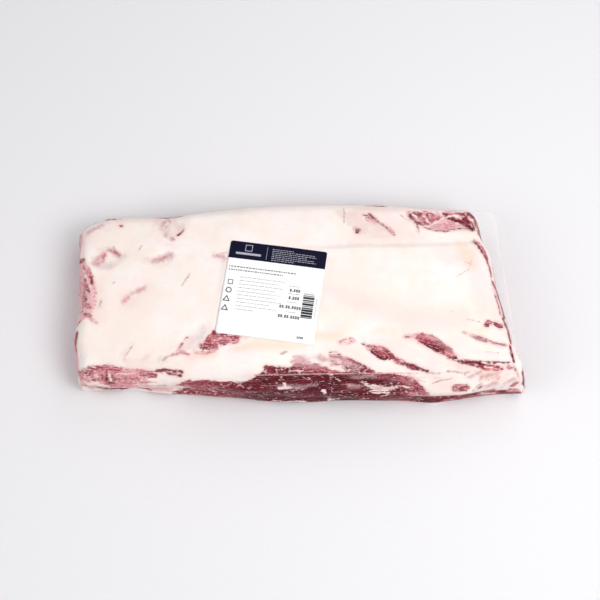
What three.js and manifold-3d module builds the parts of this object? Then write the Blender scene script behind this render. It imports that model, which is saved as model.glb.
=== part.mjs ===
// A whole boneless beef roast in a clear vacuum bag, lying fat side up with a paper label stuck on top.
// The bag clings to the meat all over, so bag and contents are one solid. At the right-hand end and along the
// rear the two films meet in a thin welded fin that stands clear of the meat.
// Millimetres, +Z up. X runs along the roast, -Y is the lean side that faces the viewer.
import * as THREE from "three";
import { mergeVertices } from "three/addons/utils/BufferGeometryUtils.js";
import Module from "manifold-3d";

const wasm = await Module();
wasm.setup();

// ---------------------------------------------------------------- driving dimensions
const THICKNESS = 64; // at the thickest place, under the label
const HALF_LENGTH = 230; // of the plain block that is warped into the pack's outline
const HALF_WIDTH = 103;
const SHOULDER = { front: 34, rear: 17, left: 18, right: 14 }; // how far each top edge is rounded inwards
const SHOULDER_DROP = { front: 37, rear: 24 }; // and how far down that rounding reaches
const HEEL_SHARE = 0.5; // the bottom edges are rounded inwards by this share of the shoulders
const HEEL_HEIGHT = 0.3 * THICKNESS;
const PLAN_POWER = 4; // corners seen from above: 2 would be an ellipse, more is squarer
const PROFILE_POWER = 2.2; // edges seen from the side

const LABEL = { width: 100, height: 102, thickness: 0.5, at: [-28.6, -3.3], turn: -8.2, corner: 2.5 };
const LABEL_GAP = 0.35; // between the label and the bag that it lies on
const LABEL_FLAT = 7; // the stiff label smooths the bag this far past its edges

const FIN = { start: [52, 101], ear: [208.5, 101.5], tip: [231, -93], earRound: 6 }; // the fin's outer line
const FIN_HEIGHT = { start: 40, tip: 21 }; // above the table
const FIN_THICKNESS = 1.4;
const FIN_DROOP = 2;
const FIN_ROOT = 9; // how far it reaches into the meat

const BODY_STEPS = [36, 82, 8];
const FIN_STEPS = [46, 3];
const LABEL_STEPS = 8;
const SMALLEST_DETAIL = 0.02;

// ---------------------------------------------------------------- small helpers
const clamp = (value, low, high) => Math.min(Math.max(value, low), high);
const bell = (distance, width) => Math.exp(-((distance / width) ** 2));

function smoothStep(from, to, value) {
  const t = clamp((value - from) / (to - from), 0, 1);
  return t * t * (3 - 2 * t);
}

function distanceToSegment(x, y, [ax, ay], [bx, by]) {
  const dx = bx - ax;
  const dy = by - ay;
  const t = clamp(((x - ax) * dx + (y - ay) * dy) / (dx * dx + dy * dy), 0, 1);
  return Math.hypot(x - ax - t * dx, y - ay - t * dy);
}

// ---------------------------------------------------------------- the outline seen from above
// Each side is where the pack is widest, a little above the table.
const leftEnd = (y) => -230.6 - 0.035 * y - 4.5 * bell(y + 50, 17);
const rightEnd = (y) => 206.5 - 0.235 * y + 1.6 * Math.sin(y / 19) + 4 * bell(y - 82, 14);
const frontSide = (x) => -106.5 + 13.5 * smoothStep(-10, -190, x) + 12 * smoothStep(125, 232, x);

function rearSide(x) {
  const swell = 15.5 * smoothStep(-175, 25, x) - 5 * smoothStep(50, 150, x);
  return 90 + swell - 13 * smoothStep(-196, -234, x);
}

// ---------------------------------------------------------------- relief of the fat cap, seen from above
// Grooves that the ribs and the knife left, as a line, the half width and the depth.
const GROOVES = [
  { from: [60, -55], to: [128, -90], width: 8, depth: 3.2 },
  { from: [104, -48], to: [160, -76], width: 9, depth: 3.4 },
  { from: [160, -76], to: [214, -83], width: 6, depth: 2.4 },
  { from: [164, -46], to: [216, -63], width: 5, depth: 1.8 },
  { from: [-108, -66], to: [-58, -54], width: 9, depth: 2.8 },
  { from: [-178, -14], to: [-160, 2], width: 7, depth: 1.6 },
  { from: [-200, -77], to: [-128, -82], width: 7, depth: 1.8 },
];

// Hollows where the cap is thin, as a centre, half sizes, a turn in degrees and the depth.
const HOLLOWS = [
  { at: [150, 82], size: [38, 11], turn: -8, depth: 6 },
  { at: [80, 74], size: [26, 13], turn: 0, depth: 2.6 },
  { at: [-134, 78], size: [15, 14], turn: 20, depth: 2.8 },
  { at: [-196, 37], size: [15, 9], turn: 15, depth: 2.8 },
  { at: [-142, 35], size: [13, 8], turn: 15, depth: 2 },
  { at: [-104, -46], size: [22, 8], turn: 42, depth: 2.2 },
  { at: [25, -40], size: [20, 9], turn: -5, depth: 1.4 },
];

const LIP_STEP = 3.2; // behind this line the cap drops to a thinner lip
const lipLine = (x) => 42.5 + 0.06 * x + 1.2 * Math.sin(x / 31);

// 1 under the label and just round it, 0 well away from it
function underLabel(x, y) {
  const turn = THREE.MathUtils.degToRad(LABEL.turn);
  const dx = x - LABEL.at[0];
  const dy = y - LABEL.at[1];
  const across = Math.abs(dx * Math.cos(turn) + dy * Math.sin(turn)) - LABEL.width / 2;
  const up = Math.abs(dy * Math.cos(turn) - dx * Math.sin(turn)) - LABEL.height / 2;
  return smoothStep(LABEL_FLAT, 1, Math.max(across, up));
}

// The smooth crown of the roast: thick behind its lean side, thinner to the ends and to the rear lip.
function crown(x, y) {
  return THICKNESS - 9 * ((x - 15) / 235) ** 2 - 12 * Math.abs((y + 20) / 122) ** 3;
}

function hollowDepth(x, y, { at, size, turn, depth }) {
  const angle = THREE.MathUtils.degToRad(turn);
  const dx = x - at[0];
  const dy = y - at[1];
  const along = (dx * Math.cos(angle) + dy * Math.sin(angle)) / size[0];
  const across = (dy * Math.cos(angle) - dx * Math.sin(angle)) / size[1];
  return depth * Math.exp(-((along * along + across * across) ** 2));
}

function capRelief(x, y) {
  const lip = smoothStep(-15, 45, x) * (1 - smoothStep(178, 200, x));
  const past = y - lipLine(x);
  let relief = -lip * (LIP_STEP * smoothStep(-3, 5, past) * (1 - 0.6 * smoothStep(8, 34, past)));
  relief += 0.9 * Math.sin(x / 41 + 0.6) * Math.sin(y / 29 + 1.1);
  relief += 0.55 * Math.sin(x / 17 + y / 23 + 2);
  relief += 0.4 * Math.sin(x / 11 - y / 13);
  for (const groove of GROOVES)
    relief -= groove.depth * bell(distanceToSegment(x, y, groove.from, groove.to), groove.width);
  for (const hollow of HOLLOWS) relief -= hollowDepth(x, y, hollow);
  return relief;
}

const topHeight = (x, y) => crown(x, y) + capRelief(x, y) * (1 - underLabel(x, y));

// ---------------------------------------------------------------- relief of the sides, standing out along the normal
// Below this line the fat has been trimmed off the lean, which lies a little deeper.
function trimLine(x) {
  return -95 + 24 * smoothStep(-75, -25, x) * (1 - smoothStep(45, 118, x)) - 9 * smoothStep(60, 140, x);
}

const TRIM_DEPTH = 2.2;

// Long soft muscle ridges on the lean side, and a plain unevenness on the other three.
function sideRelief(x, y, z, normal) {
  const ridges = 1.5 * Math.sin(z / 4.6 + 1.4 * Math.sin(x / 47)) + 1.0 * Math.sin(x / 19 + z / 7);
  const trimmed = TRIM_DEPTH * smoothStep(-3, 4, trimLine(x) - y);
  const lean = (ridges * smoothStep(0.3, 0.9, -normal.y) - trimmed) * (1 - smoothStep(52, 62, z));
  const bulges = 1.2 * Math.sin(y / 11 + 0.7) * Math.sin(z / 9) * Math.abs(normal.x);
  const rear = 1.3 * Math.sin(x / 23 + 1) * Math.sin(z / 8) * smoothStep(0.3, 0.9, normal.y);
  const cutFace = -5.5 * smoothStep(-0.2, -0.9, normal.x) * smoothStep(-24, -16, y) * smoothStep(24, 50, z);
  return (lean + bulges + rear + cutFace) * smoothStep(0, 12, z);
}

// ---------------------------------------------------------------- the body of the pack
// Rounds the edges of the plain block. Returns the point and the way its surface faces.
function rounded(block) {
  const upper = block.z > THICKNESS / 2;
  const share = upper ? 1 : HEEL_SHARE;
  const drop = THREE.MathUtils.lerp(SHOULDER_DROP.front, SHOULDER_DROP.rear, smoothStep(-70, 70, block.y));
  const reach = new THREE.Vector3(
    share * (block.x < 0 ? SHOULDER.left : SHOULDER.right),
    share * (block.y < 0 ? SHOULDER.front : SHOULDER.rear),
    upper ? drop : HEEL_HEIGHT,
  );
  const inner = new THREE.Vector3(
    clamp(block.x, reach.x - HALF_LENGTH, HALF_LENGTH - reach.x),
    clamp(block.y, reach.y - HALF_WIDTH, HALF_WIDTH - reach.y),
    clamp(block.z, HEEL_HEIGHT, THICKNESS - drop),
  );
  const out = block.clone().sub(inner).divide(reach);
  const plan = (Math.abs(out.x) ** PLAN_POWER + Math.abs(out.y) ** PLAN_POWER) ** (1 / PLAN_POWER);
  const length = (plan ** PROFILE_POWER + Math.abs(out.z) ** PROFILE_POWER) ** (1 / PROFILE_POWER);
  out.divideScalar(length);
  return { point: inner.add(out.clone().multiply(reach)), normal: out.clone().normalize() };
}

// Carries a point of the rounded block to its place in the pack.
function warped({ point, normal }) {
  const s = (point.x / HALF_LENGTH + 1) / 2;
  const t = (point.y / HALF_WIDTH + 1) / 2;
  const x = THREE.MathUtils.lerp(leftEnd(point.y), rightEnd(point.y), s);
  const y = THREE.MathUtils.lerp(frontSide(x), rearSide(x), t);
  const z = (point.z / THICKNESS) * topHeight(x, y);
  const flat = normal.clone().setZ(0);
  return new THREE.Vector3(x, y, z).addScaledVector(flat, sideRelief(x, y, z, normal));
}

function bodyGeometry() {
  // Made crosswise and turned, so that the triangles' long sides lie along the slanting grooves.
  const size = [2 * HALF_WIDTH, 2 * HALF_LENGTH, THICKNESS];
  const geometry = new THREE.BoxGeometry(...size, ...BODY_STEPS);
  geometry.rotateZ(Math.PI / 2).translate(0, 0, THICKNESS / 2);
  const places = geometry.getAttribute("position");
  for (let i = 0; i < places.count; i++) {
    const place = warped(rounded(new THREE.Vector3().fromBufferAttribute(places, i)));
    places.setXYZ(i, place.x, place.y, place.z);
  }
  return geometry;
}

// ---------------------------------------------------------------- thin sheets: the fin and the label
// A closed sheet of the given thickness, from pointAt(u, v) on its lower face with u and v from 0 to 1.
function sheetGeometry(columns, rows, thickness, pointAt) {
  const geometry = new THREE.BoxGeometry(1, 1, 1, columns, rows, 1);
  const places = geometry.getAttribute("position");
  for (let i = 0; i < places.count; i++) {
    const place = pointAt(places.getX(i) + 0.5, places.getY(i) + 0.5);
    places.setXYZ(i, place.x, place.y, place.z + (places.getZ(i) + 0.5) * thickness);
  }
  return geometry;
}

// u runs along the weld from the rear side round the ear to the front tip, v from the meat out to the weld.
function finGeometry() {
  const { start, ear, tip, earRound } = FIN;
  const weld = new THREE.Path();
  weld.moveTo(...start);
  weld.lineTo(ear[0] - earRound, ear[1] - 0.3);
  weld.quadraticCurveTo(...ear, ear[0] + 0.7, ear[1] - earRound);
  weld.quadraticCurveTo(219, 2, ...tip);
  const stations = weld.getSpacedPoints(FIN_STEPS[0]);
  const pointAt = (u, v) => {
    const outer = stations[Math.round(u * FIN_STEPS[0])];
    const inner = new THREE.Vector2(
      Math.min(outer.x, rightEnd(outer.y) - FIN_ROOT),
      clamp(outer.y, frontSide(outer.x) + FIN_ROOT, rearSide(outer.x) - FIN_ROOT),
    );
    const place = inner.lerp(outer, v);
    const height = THREE.MathUtils.lerp(FIN_HEIGHT.tip, FIN_HEIGHT.start, (1 - u) ** 2);
    const wave = 1.6 * Math.sin(u * 21) * v;
    return new THREE.Vector3(place.x, place.y, height - FIN_DROOP * v + wave);
  };
  return sheetGeometry(...FIN_STEPS, FIN_THICKNESS, pointAt);
}

// Follows the crown of the roast, with its four corners rounded off.
function labelGeometry() {
  const turn = THREE.MathUtils.degToRad(LABEL.turn);
  const cut = LABEL.corner * (1 - Math.SQRT1_2);
  const pointAt = (u, v) => {
    const isCorner = Math.abs(u - 0.5) > 0.499 && Math.abs(v - 0.5) > 0.499;
    const pull = isCorner ? cut : 0;
    const across = (u - 0.5) * (LABEL.width - 2 * pull);
    const up = (v - 0.5) * (LABEL.height - 2 * pull);
    const x = LABEL.at[0] + across * Math.cos(turn) - up * Math.sin(turn);
    const y = LABEL.at[1] + across * Math.sin(turn) + up * Math.cos(turn);
    return new THREE.Vector3(x, y, crown(x, y) + LABEL_GAP);
  };
  return sheetGeometry(LABEL_STEPS, LABEL_STEPS, LABEL.thickness, pointAt);
}

// ---------------------------------------------------------------- joining solids
function toSolid(geometry) {
  const bare = geometry.clone();
  bare.deleteAttribute("normal");
  bare.deleteAttribute("uv");
  const merged = mergeVertices(bare, 1e-3);
  const vertProperties = merged.getAttribute("position").array;
  const triVerts = new Uint32Array(merged.index.array);
  return new wasm.Manifold(new wasm.Mesh({ numProp: 3, vertProperties, triVerts }));
}

function fromSolid(solid) {
  const { vertProperties, triVerts } = solid.getMesh();
  const geometry = new THREE.BufferGeometry();
  geometry.setAttribute("position", new THREE.BufferAttribute(vertProperties, 3));
  geometry.setIndex(new THREE.BufferAttribute(triVerts, 1));
  geometry.computeVertexNormals();
  return geometry;
}

// ---------------------------------------------------------------- the two pieces
function makeBag() {
  const joined = toSolid(bodyGeometry()).add(toSolid(finGeometry()));
  const geometry = fromSolid(joined.simplify(SMALLEST_DETAIL));
  const material = new THREE.MeshStandardMaterial({ color: 0xf6e2dc, roughness: 0.25, metalness: 0 });
  const bag = new THREE.Mesh(geometry, material);
  bag.name = "bag";
  return bag;
}

function makeLabel() {
  const material = new THREE.MeshStandardMaterial({ color: 0xfbfbfa, roughness: 0.5, metalness: 0 });
  const label = new THREE.Mesh(labelGeometry(), material);
  label.name = "label";
  return label;
}

// The pack stands on the table with the middle of its outline over the origin.
const pack = new THREE.Group();
pack.add(makeBag(), makeLabel());
const middle = new THREE.Box3().setFromObject(pack).getCenter(new THREE.Vector3());
pack.position.set(-middle.x, -middle.y, 0);

export default pack;
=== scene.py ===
# %% [markdown]
# # A beef roast in a vacuum bag
#
# A whole boneless roast lies fat side up on a pale surface. A clear film has been sucked tight round it,
# and a paper label is stuck on the film. The solid model holds the size and the main form. This lesson
# makes what the eye sees: the fat and the lean, the film with its welded edge, and the printed label. The
# model is loaded first, because everything else is placed by it.

# %% Load the solid model
import math

import bpy
import numpy as np
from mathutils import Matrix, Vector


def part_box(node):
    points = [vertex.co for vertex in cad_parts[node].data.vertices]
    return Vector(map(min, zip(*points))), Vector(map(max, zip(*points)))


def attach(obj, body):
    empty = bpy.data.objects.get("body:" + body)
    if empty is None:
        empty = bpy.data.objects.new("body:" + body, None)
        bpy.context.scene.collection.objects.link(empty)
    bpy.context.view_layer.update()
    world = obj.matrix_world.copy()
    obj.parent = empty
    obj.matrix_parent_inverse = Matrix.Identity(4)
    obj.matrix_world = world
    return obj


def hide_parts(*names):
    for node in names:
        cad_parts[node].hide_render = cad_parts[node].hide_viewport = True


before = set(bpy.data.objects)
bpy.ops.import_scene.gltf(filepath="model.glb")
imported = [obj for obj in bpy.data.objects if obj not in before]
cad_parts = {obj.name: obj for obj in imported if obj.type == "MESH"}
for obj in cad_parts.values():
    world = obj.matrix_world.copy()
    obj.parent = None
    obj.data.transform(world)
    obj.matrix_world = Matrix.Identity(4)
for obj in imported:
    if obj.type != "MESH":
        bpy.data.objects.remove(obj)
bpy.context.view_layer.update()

print("nodes:", sorted(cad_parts))

# %% [markdown]
# ## One drawing for every piece
#
# The roast is easiest to describe in the millimetres of its own drawing. The solid model was moved
# afterwards so that its middle is over the origin. The label tells how far: its middle is known in the
# drawing and in the model. One function then carries every drawn point to its place in metres.

# %% From the drawing to the model
MM = 0.001
LABEL_AT = np.array([-28.6, -3.3])  # the middle of the label, in the drawing
LABEL_SIZE = np.array([100.0, 102.0])
LABEL_TURN = math.radians(-8.2)

label_low, label_high = (np.array(corner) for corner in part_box("label"))
DRAWING_SHIFT = np.append((label_low + label_high)[:2] / 2 / MM - LABEL_AT, 0)


def placed(drawn):
    """Drawing millimetres to metres in the model."""
    return (np.asarray(drawn) + DRAWING_SHIFT) * MM


print("drawing shifted by", DRAWING_SHIFT.round(2), "mm")

# %% [markdown]
# ## Shapes from formulas
#
# Soft forms are sums of a few simple curves. `smooth_step` goes gently from 0 to 1 between two places,
# `bell` is a rounded bump, and `soft_noise` adds up waves in chance directions, which gives uneven but
# smooth lumps. Its chance is seeded, so the roast looks the same every time.

# %% Curves for soft forms
def smooth_step(start, end, value):
    t = np.clip((value - start) / (end - start), 0, 1)
    return t * t * (3 - 2 * t)


def bell(distance, width):
    return np.exp(-((distance / width) ** 2))


def soft_noise(places, size, seed, stretch=(1, 1, 1)):
    """Smooth lumps about `size` mm across, mostly between -1 and 1."""
    waves = 24
    draw = np.random.default_rng(seed)
    heading = draw.normal(size=(3, waves))
    heading *= draw.uniform(2, 4, waves) / size / np.linalg.norm(heading, axis=0)
    phase = draw.uniform(0, 2 * math.pi, waves)
    return np.sin(places / np.array(stretch) @ heading + phase).sum(1) / math.sqrt(2 * waves)


print("noise spread:", soft_noise(np.random.default_rng(1).uniform(-99, 99, (999, 3)), 9, 2).std().round(2))

# %% [markdown]
# ## The outline of the roast
#
# Seen from above, the roast has four sides, and each is a short formula. These are the same sizes as the
# solid model has, so what is built here lies exactly where the solid does.

# %% The four sides seen from above
THICKNESS = 64
HALF_LENGTH = 230
HALF_WIDTH = 103
SHOULDER = {"front": 34, "rear": 17, "left": 18, "right": 14}
SHOULDER_DROP = {"front": 37, "rear": 24}
HEEL_SHARE = 0.5
HEEL_HEIGHT = 0.3 * THICKNESS
PLAN_POWER = 4
PROFILE_POWER = 2.2


def left_end(y):
    return -230.6 - 0.035 * y - 4.5 * bell(y + 50, 17)


def right_end(y):
    return 206.5 - 0.235 * y + 1.6 * np.sin(y / 19) + 4 * bell(y - 82, 14)


def front_side(x):
    return -106.5 + 13.5 * smooth_step(-10, -190, x) + 12 * smooth_step(125, 232, x)


def rear_side(x):
    swell = 15.5 * smooth_step(-175, 25, x) - 5 * smooth_step(50, 150, x)
    return 90 + swell - 13 * smooth_step(-196, -234, x)


print("width at the label:", round(float(rear_side(LABEL_AT[0]) - front_side(LABEL_AT[0]))), "mm")

# %% [markdown]
# ## The fat cap from above
#
# The butcher's knife and the ribs leave grooves, and where the cap is thin it sinks into hollows. Each
# groove is a line with a width and a depth, and each hollow is an oval. The stiff label holds the film
# flat, so the relief fades out under it.

# %% Heights of the cap
GROOVES = [  # from, to, half width, depth
    ((60, -55), (128, -90), 8, 3.2),
    ((104, -48), (160, -76), 9, 3.4),
    ((160, -76), (214, -83), 6, 2.4),
    ((164, -46), (216, -63), 5, 1.8),
    ((-108, -66), (-58, -54), 9, 2.8),
    ((-178, -14), (-160, 2), 7, 1.6),
    ((-200, -77), (-128, -82), 7, 1.8),
]
HOLLOWS = [  # middle, half sizes, turn in degrees, depth
    ((150, 82), (38, 11), -8, 6),
    ((80, 74), (26, 13), 0, 2.6),
    ((-134, 78), (15, 14), 20, 2.8),
    ((-196, 37), (15, 9), 15, 2.8),
    ((-142, 35), (13, 8), 15, 2),
    ((-104, -46), (22, 8), 42, 2.2),
    ((25, -40), (20, 9), -5, 1.4),
]


LIP_STEP = 3.2  # behind the lip line the cap drops to a thinner lip
LABEL_FLAT = 7  # the stiff label smooths the film this far past its edges, in mm


def from_segment(x, y, start, end):
    (ax, ay), (bx, by) = start, end
    t = np.clip(((x - ax) * (bx - ax) + (y - ay) * (by - ay)) / math.dist(start, end) ** 2, 0, 1)
    return np.hypot(x - ax - t * (bx - ax), y - ay - t * (by - ay))


def under_label(x, y):
    """1 under the label and just round it, 0 well away from it."""
    dx, dy = x - LABEL_AT[0], y - LABEL_AT[1]
    across = np.abs(dx * math.cos(LABEL_TURN) + dy * math.sin(LABEL_TURN)) - LABEL_SIZE[0] / 2
    up = np.abs(dy * math.cos(LABEL_TURN) - dx * math.sin(LABEL_TURN)) - LABEL_SIZE[1] / 2
    return smooth_step(LABEL_FLAT, 1, np.maximum(across, up))


def crown(x, y):
    return THICKNESS - 9 * ((x - 15) / 235) ** 2 - 12 * np.abs((y + 20) / 122) ** 3


def hollow_depth(x, y, middle, half, turn, depth):
    turn = math.radians(turn)
    dx, dy = x - middle[0], y - middle[1]
    along = (dx * math.cos(turn) + dy * math.sin(turn)) / half[0]
    across = (dy * math.cos(turn) - dx * math.sin(turn)) / half[1]
    return depth * np.exp(-((along**2 + across**2) ** 2))


def cap_relief(x, y):
    lip_line = 42.5 + 0.06 * x + 1.2 * np.sin(x / 31)
    lip = smooth_step(-15, 45, x) * (1 - smooth_step(178, 200, x))
    past = y - lip_line
    relief = -lip * LIP_STEP * smooth_step(-3, 5, past) * (1 - 0.6 * smooth_step(8, 34, past))
    relief = relief + 0.9 * np.sin(x / 41 + 0.6) * np.sin(y / 29 + 1.1)
    relief = relief + 0.55 * np.sin(x / 17 + y / 23 + 2) + 0.4 * np.sin(x / 11 - y / 13)
    for start, end, width, depth in GROOVES:
        relief = relief - depth * bell(from_segment(x, y, start, end), width)
    for hollow in HOLLOWS:
        relief = relief - hollow_depth(x, y, *hollow)
    return relief


def top_height(x, y):
    return crown(x, y) + cap_relief(x, y) * (1 - under_label(x, y))


print("height in the middle:", round(float(top_height(0.0, -20.0)), 1), "mm")

# %% [markdown]
# ## The sides
#
# The lean side in front has long soft ridges of muscle, and it lies a little deeper than the fat that was
# left on above it. The end of the roast is a cut face that leans back.

# %% Relief of the sides
TRIM_DEPTH = 2.2  # how far the bare muscle lies behind the fat
CUT_FACE_DEPTH = 5.5


def trim_line(x):
    swell = 24 * smooth_step(-75, -25, x) * (1 - smooth_step(45, 118, x))
    return -95 + swell - 9 * smooth_step(60, 140, x)


def side_relief(x, y, z, normal):
    ridges = 1.5 * np.sin(z / 4.6 + 1.4 * np.sin(x / 47)) + np.sin(x / 19 + z / 7)
    trimmed = TRIM_DEPTH * smooth_step(-3, 4, trim_line(x) - y)
    lean = (ridges * smooth_step(0.3, 0.9, -normal[1]) - trimmed) * (1 - smooth_step(52, 62, z))
    bulges = 1.2 * np.sin(y / 11 + 0.7) * np.sin(z / 9) * np.abs(normal[0])
    rear = 1.3 * np.sin(x / 23 + 1) * np.sin(z / 8) * smooth_step(0.3, 0.9, normal[1])
    cut_face = smooth_step(0.2, 0.9, -normal[0]) * smooth_step(-24, -16, y) * smooth_step(24, 50, z)
    return (lean + bulges + rear - CUT_FACE_DEPTH * cut_face) * smooth_step(0, 12, z)


print("lean side set back:", round(float(side_relief(0.0, -105.0, 20.0, (0.0, -1.0, 0.0))), 1), "mm")

# %% [markdown]
# ## From a block to the roast
#
# A fine grid over a plain block is bent in two steps: its edges are rounded, each by its own amount, and
# then its sides are moved to the outline and its top to the heights. A block's grid has no poles or
# seams, so the fine relief that comes later is even all over.

# %% A grid over a block
def cells_of(number):
    """The four-sided faces between the points of a numbered sheet."""
    corners = [number[:-1, :-1], number[1:, :-1], number[1:, 1:], number[:-1, 1:]]
    return np.stack(corners, -1).reshape(-1, 4)


def block_grid(counts):
    """The places on a unit block's surface, from 0 to 1, and its four-sided faces, all facing out."""
    size = np.array(counts) + 1
    grid = np.stack(np.meshgrid(*(np.arange(n) for n in size), indexing="ij"), -1)
    outside = ((grid == 0) | (grid == size - 1)).any(-1)
    number = np.full(size, -1)
    number[outside] = np.arange(outside.sum())
    faces = []
    for axis in range(3):
        for far in (0, size[axis] - 1):
            quads = cells_of(np.take(number, far, axis))
            faces.append(quads if (far > 0) == (axis != 1) else quads[:, ::-1])
    return grid[outside] / (size - 1), np.concatenate(faces)


def rounded(unit):
    """Rounds the edges of the plain block. Returns the points and the way the surface faces there."""
    block = (unit - [0.5, 0.5, 0]) * [2 * HALF_LENGTH, 2 * HALF_WIDTH, THICKNESS]
    x, y, z = block.T
    upper = z > THICKNESS / 2
    share = np.where(upper, 1, HEEL_SHARE)
    drop = SHOULDER_DROP["front"] + (SHOULDER_DROP["rear"] - SHOULDER_DROP["front"]) * smooth_step(-70, 70, y)
    reach_x = share * np.where(x < 0, SHOULDER["left"], SHOULDER["right"])
    reach_y = share * np.where(y < 0, SHOULDER["front"], SHOULDER["rear"])
    reach = np.stack([reach_x, reach_y, np.where(upper, drop, HEEL_HEIGHT)], -1)
    inner_x = np.clip(x, reach_x - HALF_LENGTH, HALF_LENGTH - reach_x)
    inner_y = np.clip(y, reach_y - HALF_WIDTH, HALF_WIDTH - reach_y)
    inner = np.stack([inner_x, inner_y, np.clip(z, HEEL_HEIGHT, THICKNESS - drop)], -1)
    out = (block - inner) / reach
    plan = (np.abs(out[:, :2]) ** PLAN_POWER).sum(1) ** (1 / PLAN_POWER)
    length = (plan**PROFILE_POWER + np.abs(out[:, 2]) ** PROFILE_POWER) ** (1 / PROFILE_POWER)
    out /= length[:, None]
    return inner + out * reach, out / np.linalg.norm(out, axis=1, keepdims=True)


def warped(point, normal):
    """Carries the points of the rounded block to their places in the pack."""
    s = (point[:, 0] / HALF_LENGTH + 1) / 2
    t = (point[:, 1] / HALF_WIDTH + 1) / 2
    x = left_end(point[:, 1]) * (1 - s) + right_end(point[:, 1]) * s
    y = front_side(x) * (1 - t) + rear_side(x) * t
    z = point[:, 2] / THICKNESS * top_height(x, y)
    out = side_relief(x, y, z, normal.T)
    return np.stack([x + normal[:, 0] * out, y + normal[:, 1] * out, z], -1)


def facing(points, faces):
    """The direction that the surface faces at each point."""
    corner = points[faces]
    across = np.cross(corner[:, 2] - corner[:, 0], corner[:, 3] - corner[:, 1])
    total = np.zeros_like(points)
    for turn in range(faces.shape[1]):
        np.add.at(total, faces[:, turn], across)
    return total / np.linalg.norm(total, axis=1, keepdims=True)


GRID_COUNTS = (282, 126, 28)
unit_grid, block_faces = block_grid(GRID_COUNTS)
surface = warped(*rounded(unit_grid))
outward = facing(surface, block_faces)
print("surface:", len(surface), "points, from", surface.min(0).round(1), "to", surface.max(0).round(1))

# %% [markdown]
# ## Where the lean shows
#
# Dark lean shows wherever the knife has gone through the white fat. The surface keeps a field for it: how
# many millimetres a place lies inside the lean, below zero where it is fat. It isn't a colour yet. The
# material breaks the edge up with fine noise later, so the edge is sharp at any distance. Two more fields
# go with it: how dark the lean is, and a pair of distances along and across its fibres, which lets the
# streaks follow the muscle.
#
# The large areas come first. Each is bounded by a line. Along the front the fat stops at a wavy edge,
# below it the side is bare muscle. The two ends are cut faces under the cap, the rear has a strip of
# muscle between fat, and underneath, the spaces between the ribs have left stripes.

# %% Large areas of lean
FAR_OUTSIDE = -60.0
VEILED, PINK, RED, DEEP = -0.45, 0.0, 0.5, 1.0  # how dark the lean is
PAINT_MARGIN = 0.7  # a shade reaches this far past its edge, in mm, because the edge frays
x, y, z = surface.T
lean = np.full(len(surface), FAR_OUTSIDE)
tone = np.full(len(surface), RED)
fibre = np.stack([x, y + z, 0 * x], -1)


def cover(inside, how_dark):
    """Adds an area to the lean, painted over what was there."""
    painted = inside > -PAINT_MARGIN
    tone[painted] = np.broadcast_to(how_dark, len(x))[painted]
    np.maximum(lean, inside, out=lean)


FRONT_EDGE_X = (-133, -131, -111, -95, -55, -47, -37, -34, -20, -9, -3, 6, 15, 33, 62, 100, 115, 126, 134)
FRONT_EDGE_Y = (-108, -96, -92.5, -93, -95, -92, -87, -81.5, -83, -82, -77, -79, -78.5, -85, -87, -89,
                -93, -101, -106)
front_side_lean = np.where(z < 63, np.interp(x, FRONT_EDGE_X, FRONT_EDGE_Y) - y, FAR_OUTSIDE)
front_side_tone = 0.35 + 0.8 * smooth_step(-86, -91, y) * smooth_step(-100, -30, x) * smooth_step(120, 70, x)
cover(front_side_lean, front_side_tone + 0.15 * smooth_step(-70, -120, x))

LOW_LEFT_X = (-226, -208, -192, -182, -170, -158, -144)
LOW_LEFT_TOP = (-80.5, -79.5, -77, -79.5, -81, -82, -84)
LOW_LEFT_FLOOR = (34, 37, 31, 30, 31, 33, 35)
low_left_top = np.interp(x, LOW_LEFT_X, LOW_LEFT_TOP) - y
low_left_floor = z - np.interp(x, LOW_LEFT_X, LOW_LEFT_FLOOR)
low_left_tip = -150 - x + 6 * np.sin(z * 1.15)
cover(np.minimum.reduce([low_left_top, low_left_floor, low_left_tip, x + 226]), -0.12)

CUT_FACE_Y = (-33, -28, -23, -16, -2, 11, 24, 33, 39, 43)
CUT_FACE_X = (-228, -216, -212, -208, -208, -210.5, -215, -221.5, -226, -230)
cut_face = np.minimum.reduce([np.interp(y, CUT_FACE_Y, CUT_FACE_X) - x, 43 - y, y + 33, z - 6])
cover(cut_face, -0.95 + 0.4 * smooth_step(34, 18, y) - 0.15 * smooth_step(4, -14, y))
left_end_lean = np.minimum.reduce([40 - z, 80 - np.abs(y + 2), z - 5, -14 * outward[:, 0] - 8])
# The end face's lean is painted paler: partly its own pink, partly painted light, since it faces away from
# the key lamp. It darkens towards the bottom.
cover(left_end_lean, -0.45 + 0.4 * smooth_step(28, 12, z))
right_end_top = 47 - z + 3 * np.sin(y / 9)
right_end_lean = np.minimum.reduce([right_end_top, 88 - np.abs(y + 6), z - 4, 14 * outward[:, 0] - 8])
cover(right_end_lean, 0.6)
on_end = np.abs(outward[:, 0]) > 0.6
fibre[on_end] = np.stack([y, x + z, 0 * x + 40], -1)[on_end]

rear_top = 30 + 6 * np.sin(x / 31) + 3 * np.sin(x / 12 + 2) + 8 * smooth_step(105, 125, x)
rear_lean = np.minimum.reduce([rear_top - z, z - 9 - 4 * np.sin(x / 19), 14 * outward[:, 1] - 8])
cover(rear_lean, 0.6)
rib_stripes = np.minimum(9 * np.sin(x / 8.5 + 0.9 * np.sin(y / 31)), 6 - z) + 1
cover(np.where(outward[:, 2] < -0.5, rib_stripes, FAR_OUTSIDE), 0.45)
print("lean areas cover", f"{(lean > 0).mean():.1%}", "of the surface")

# %% [markdown]
# ## Small places of lean
#
# The rest is painted in brush strokes. A stroke is a line with a half width at each of its points, and a
# shade. A point has two numbers where it lies on the cap, and three on a side. Later strokes paint over
# earlier ones.

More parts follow.
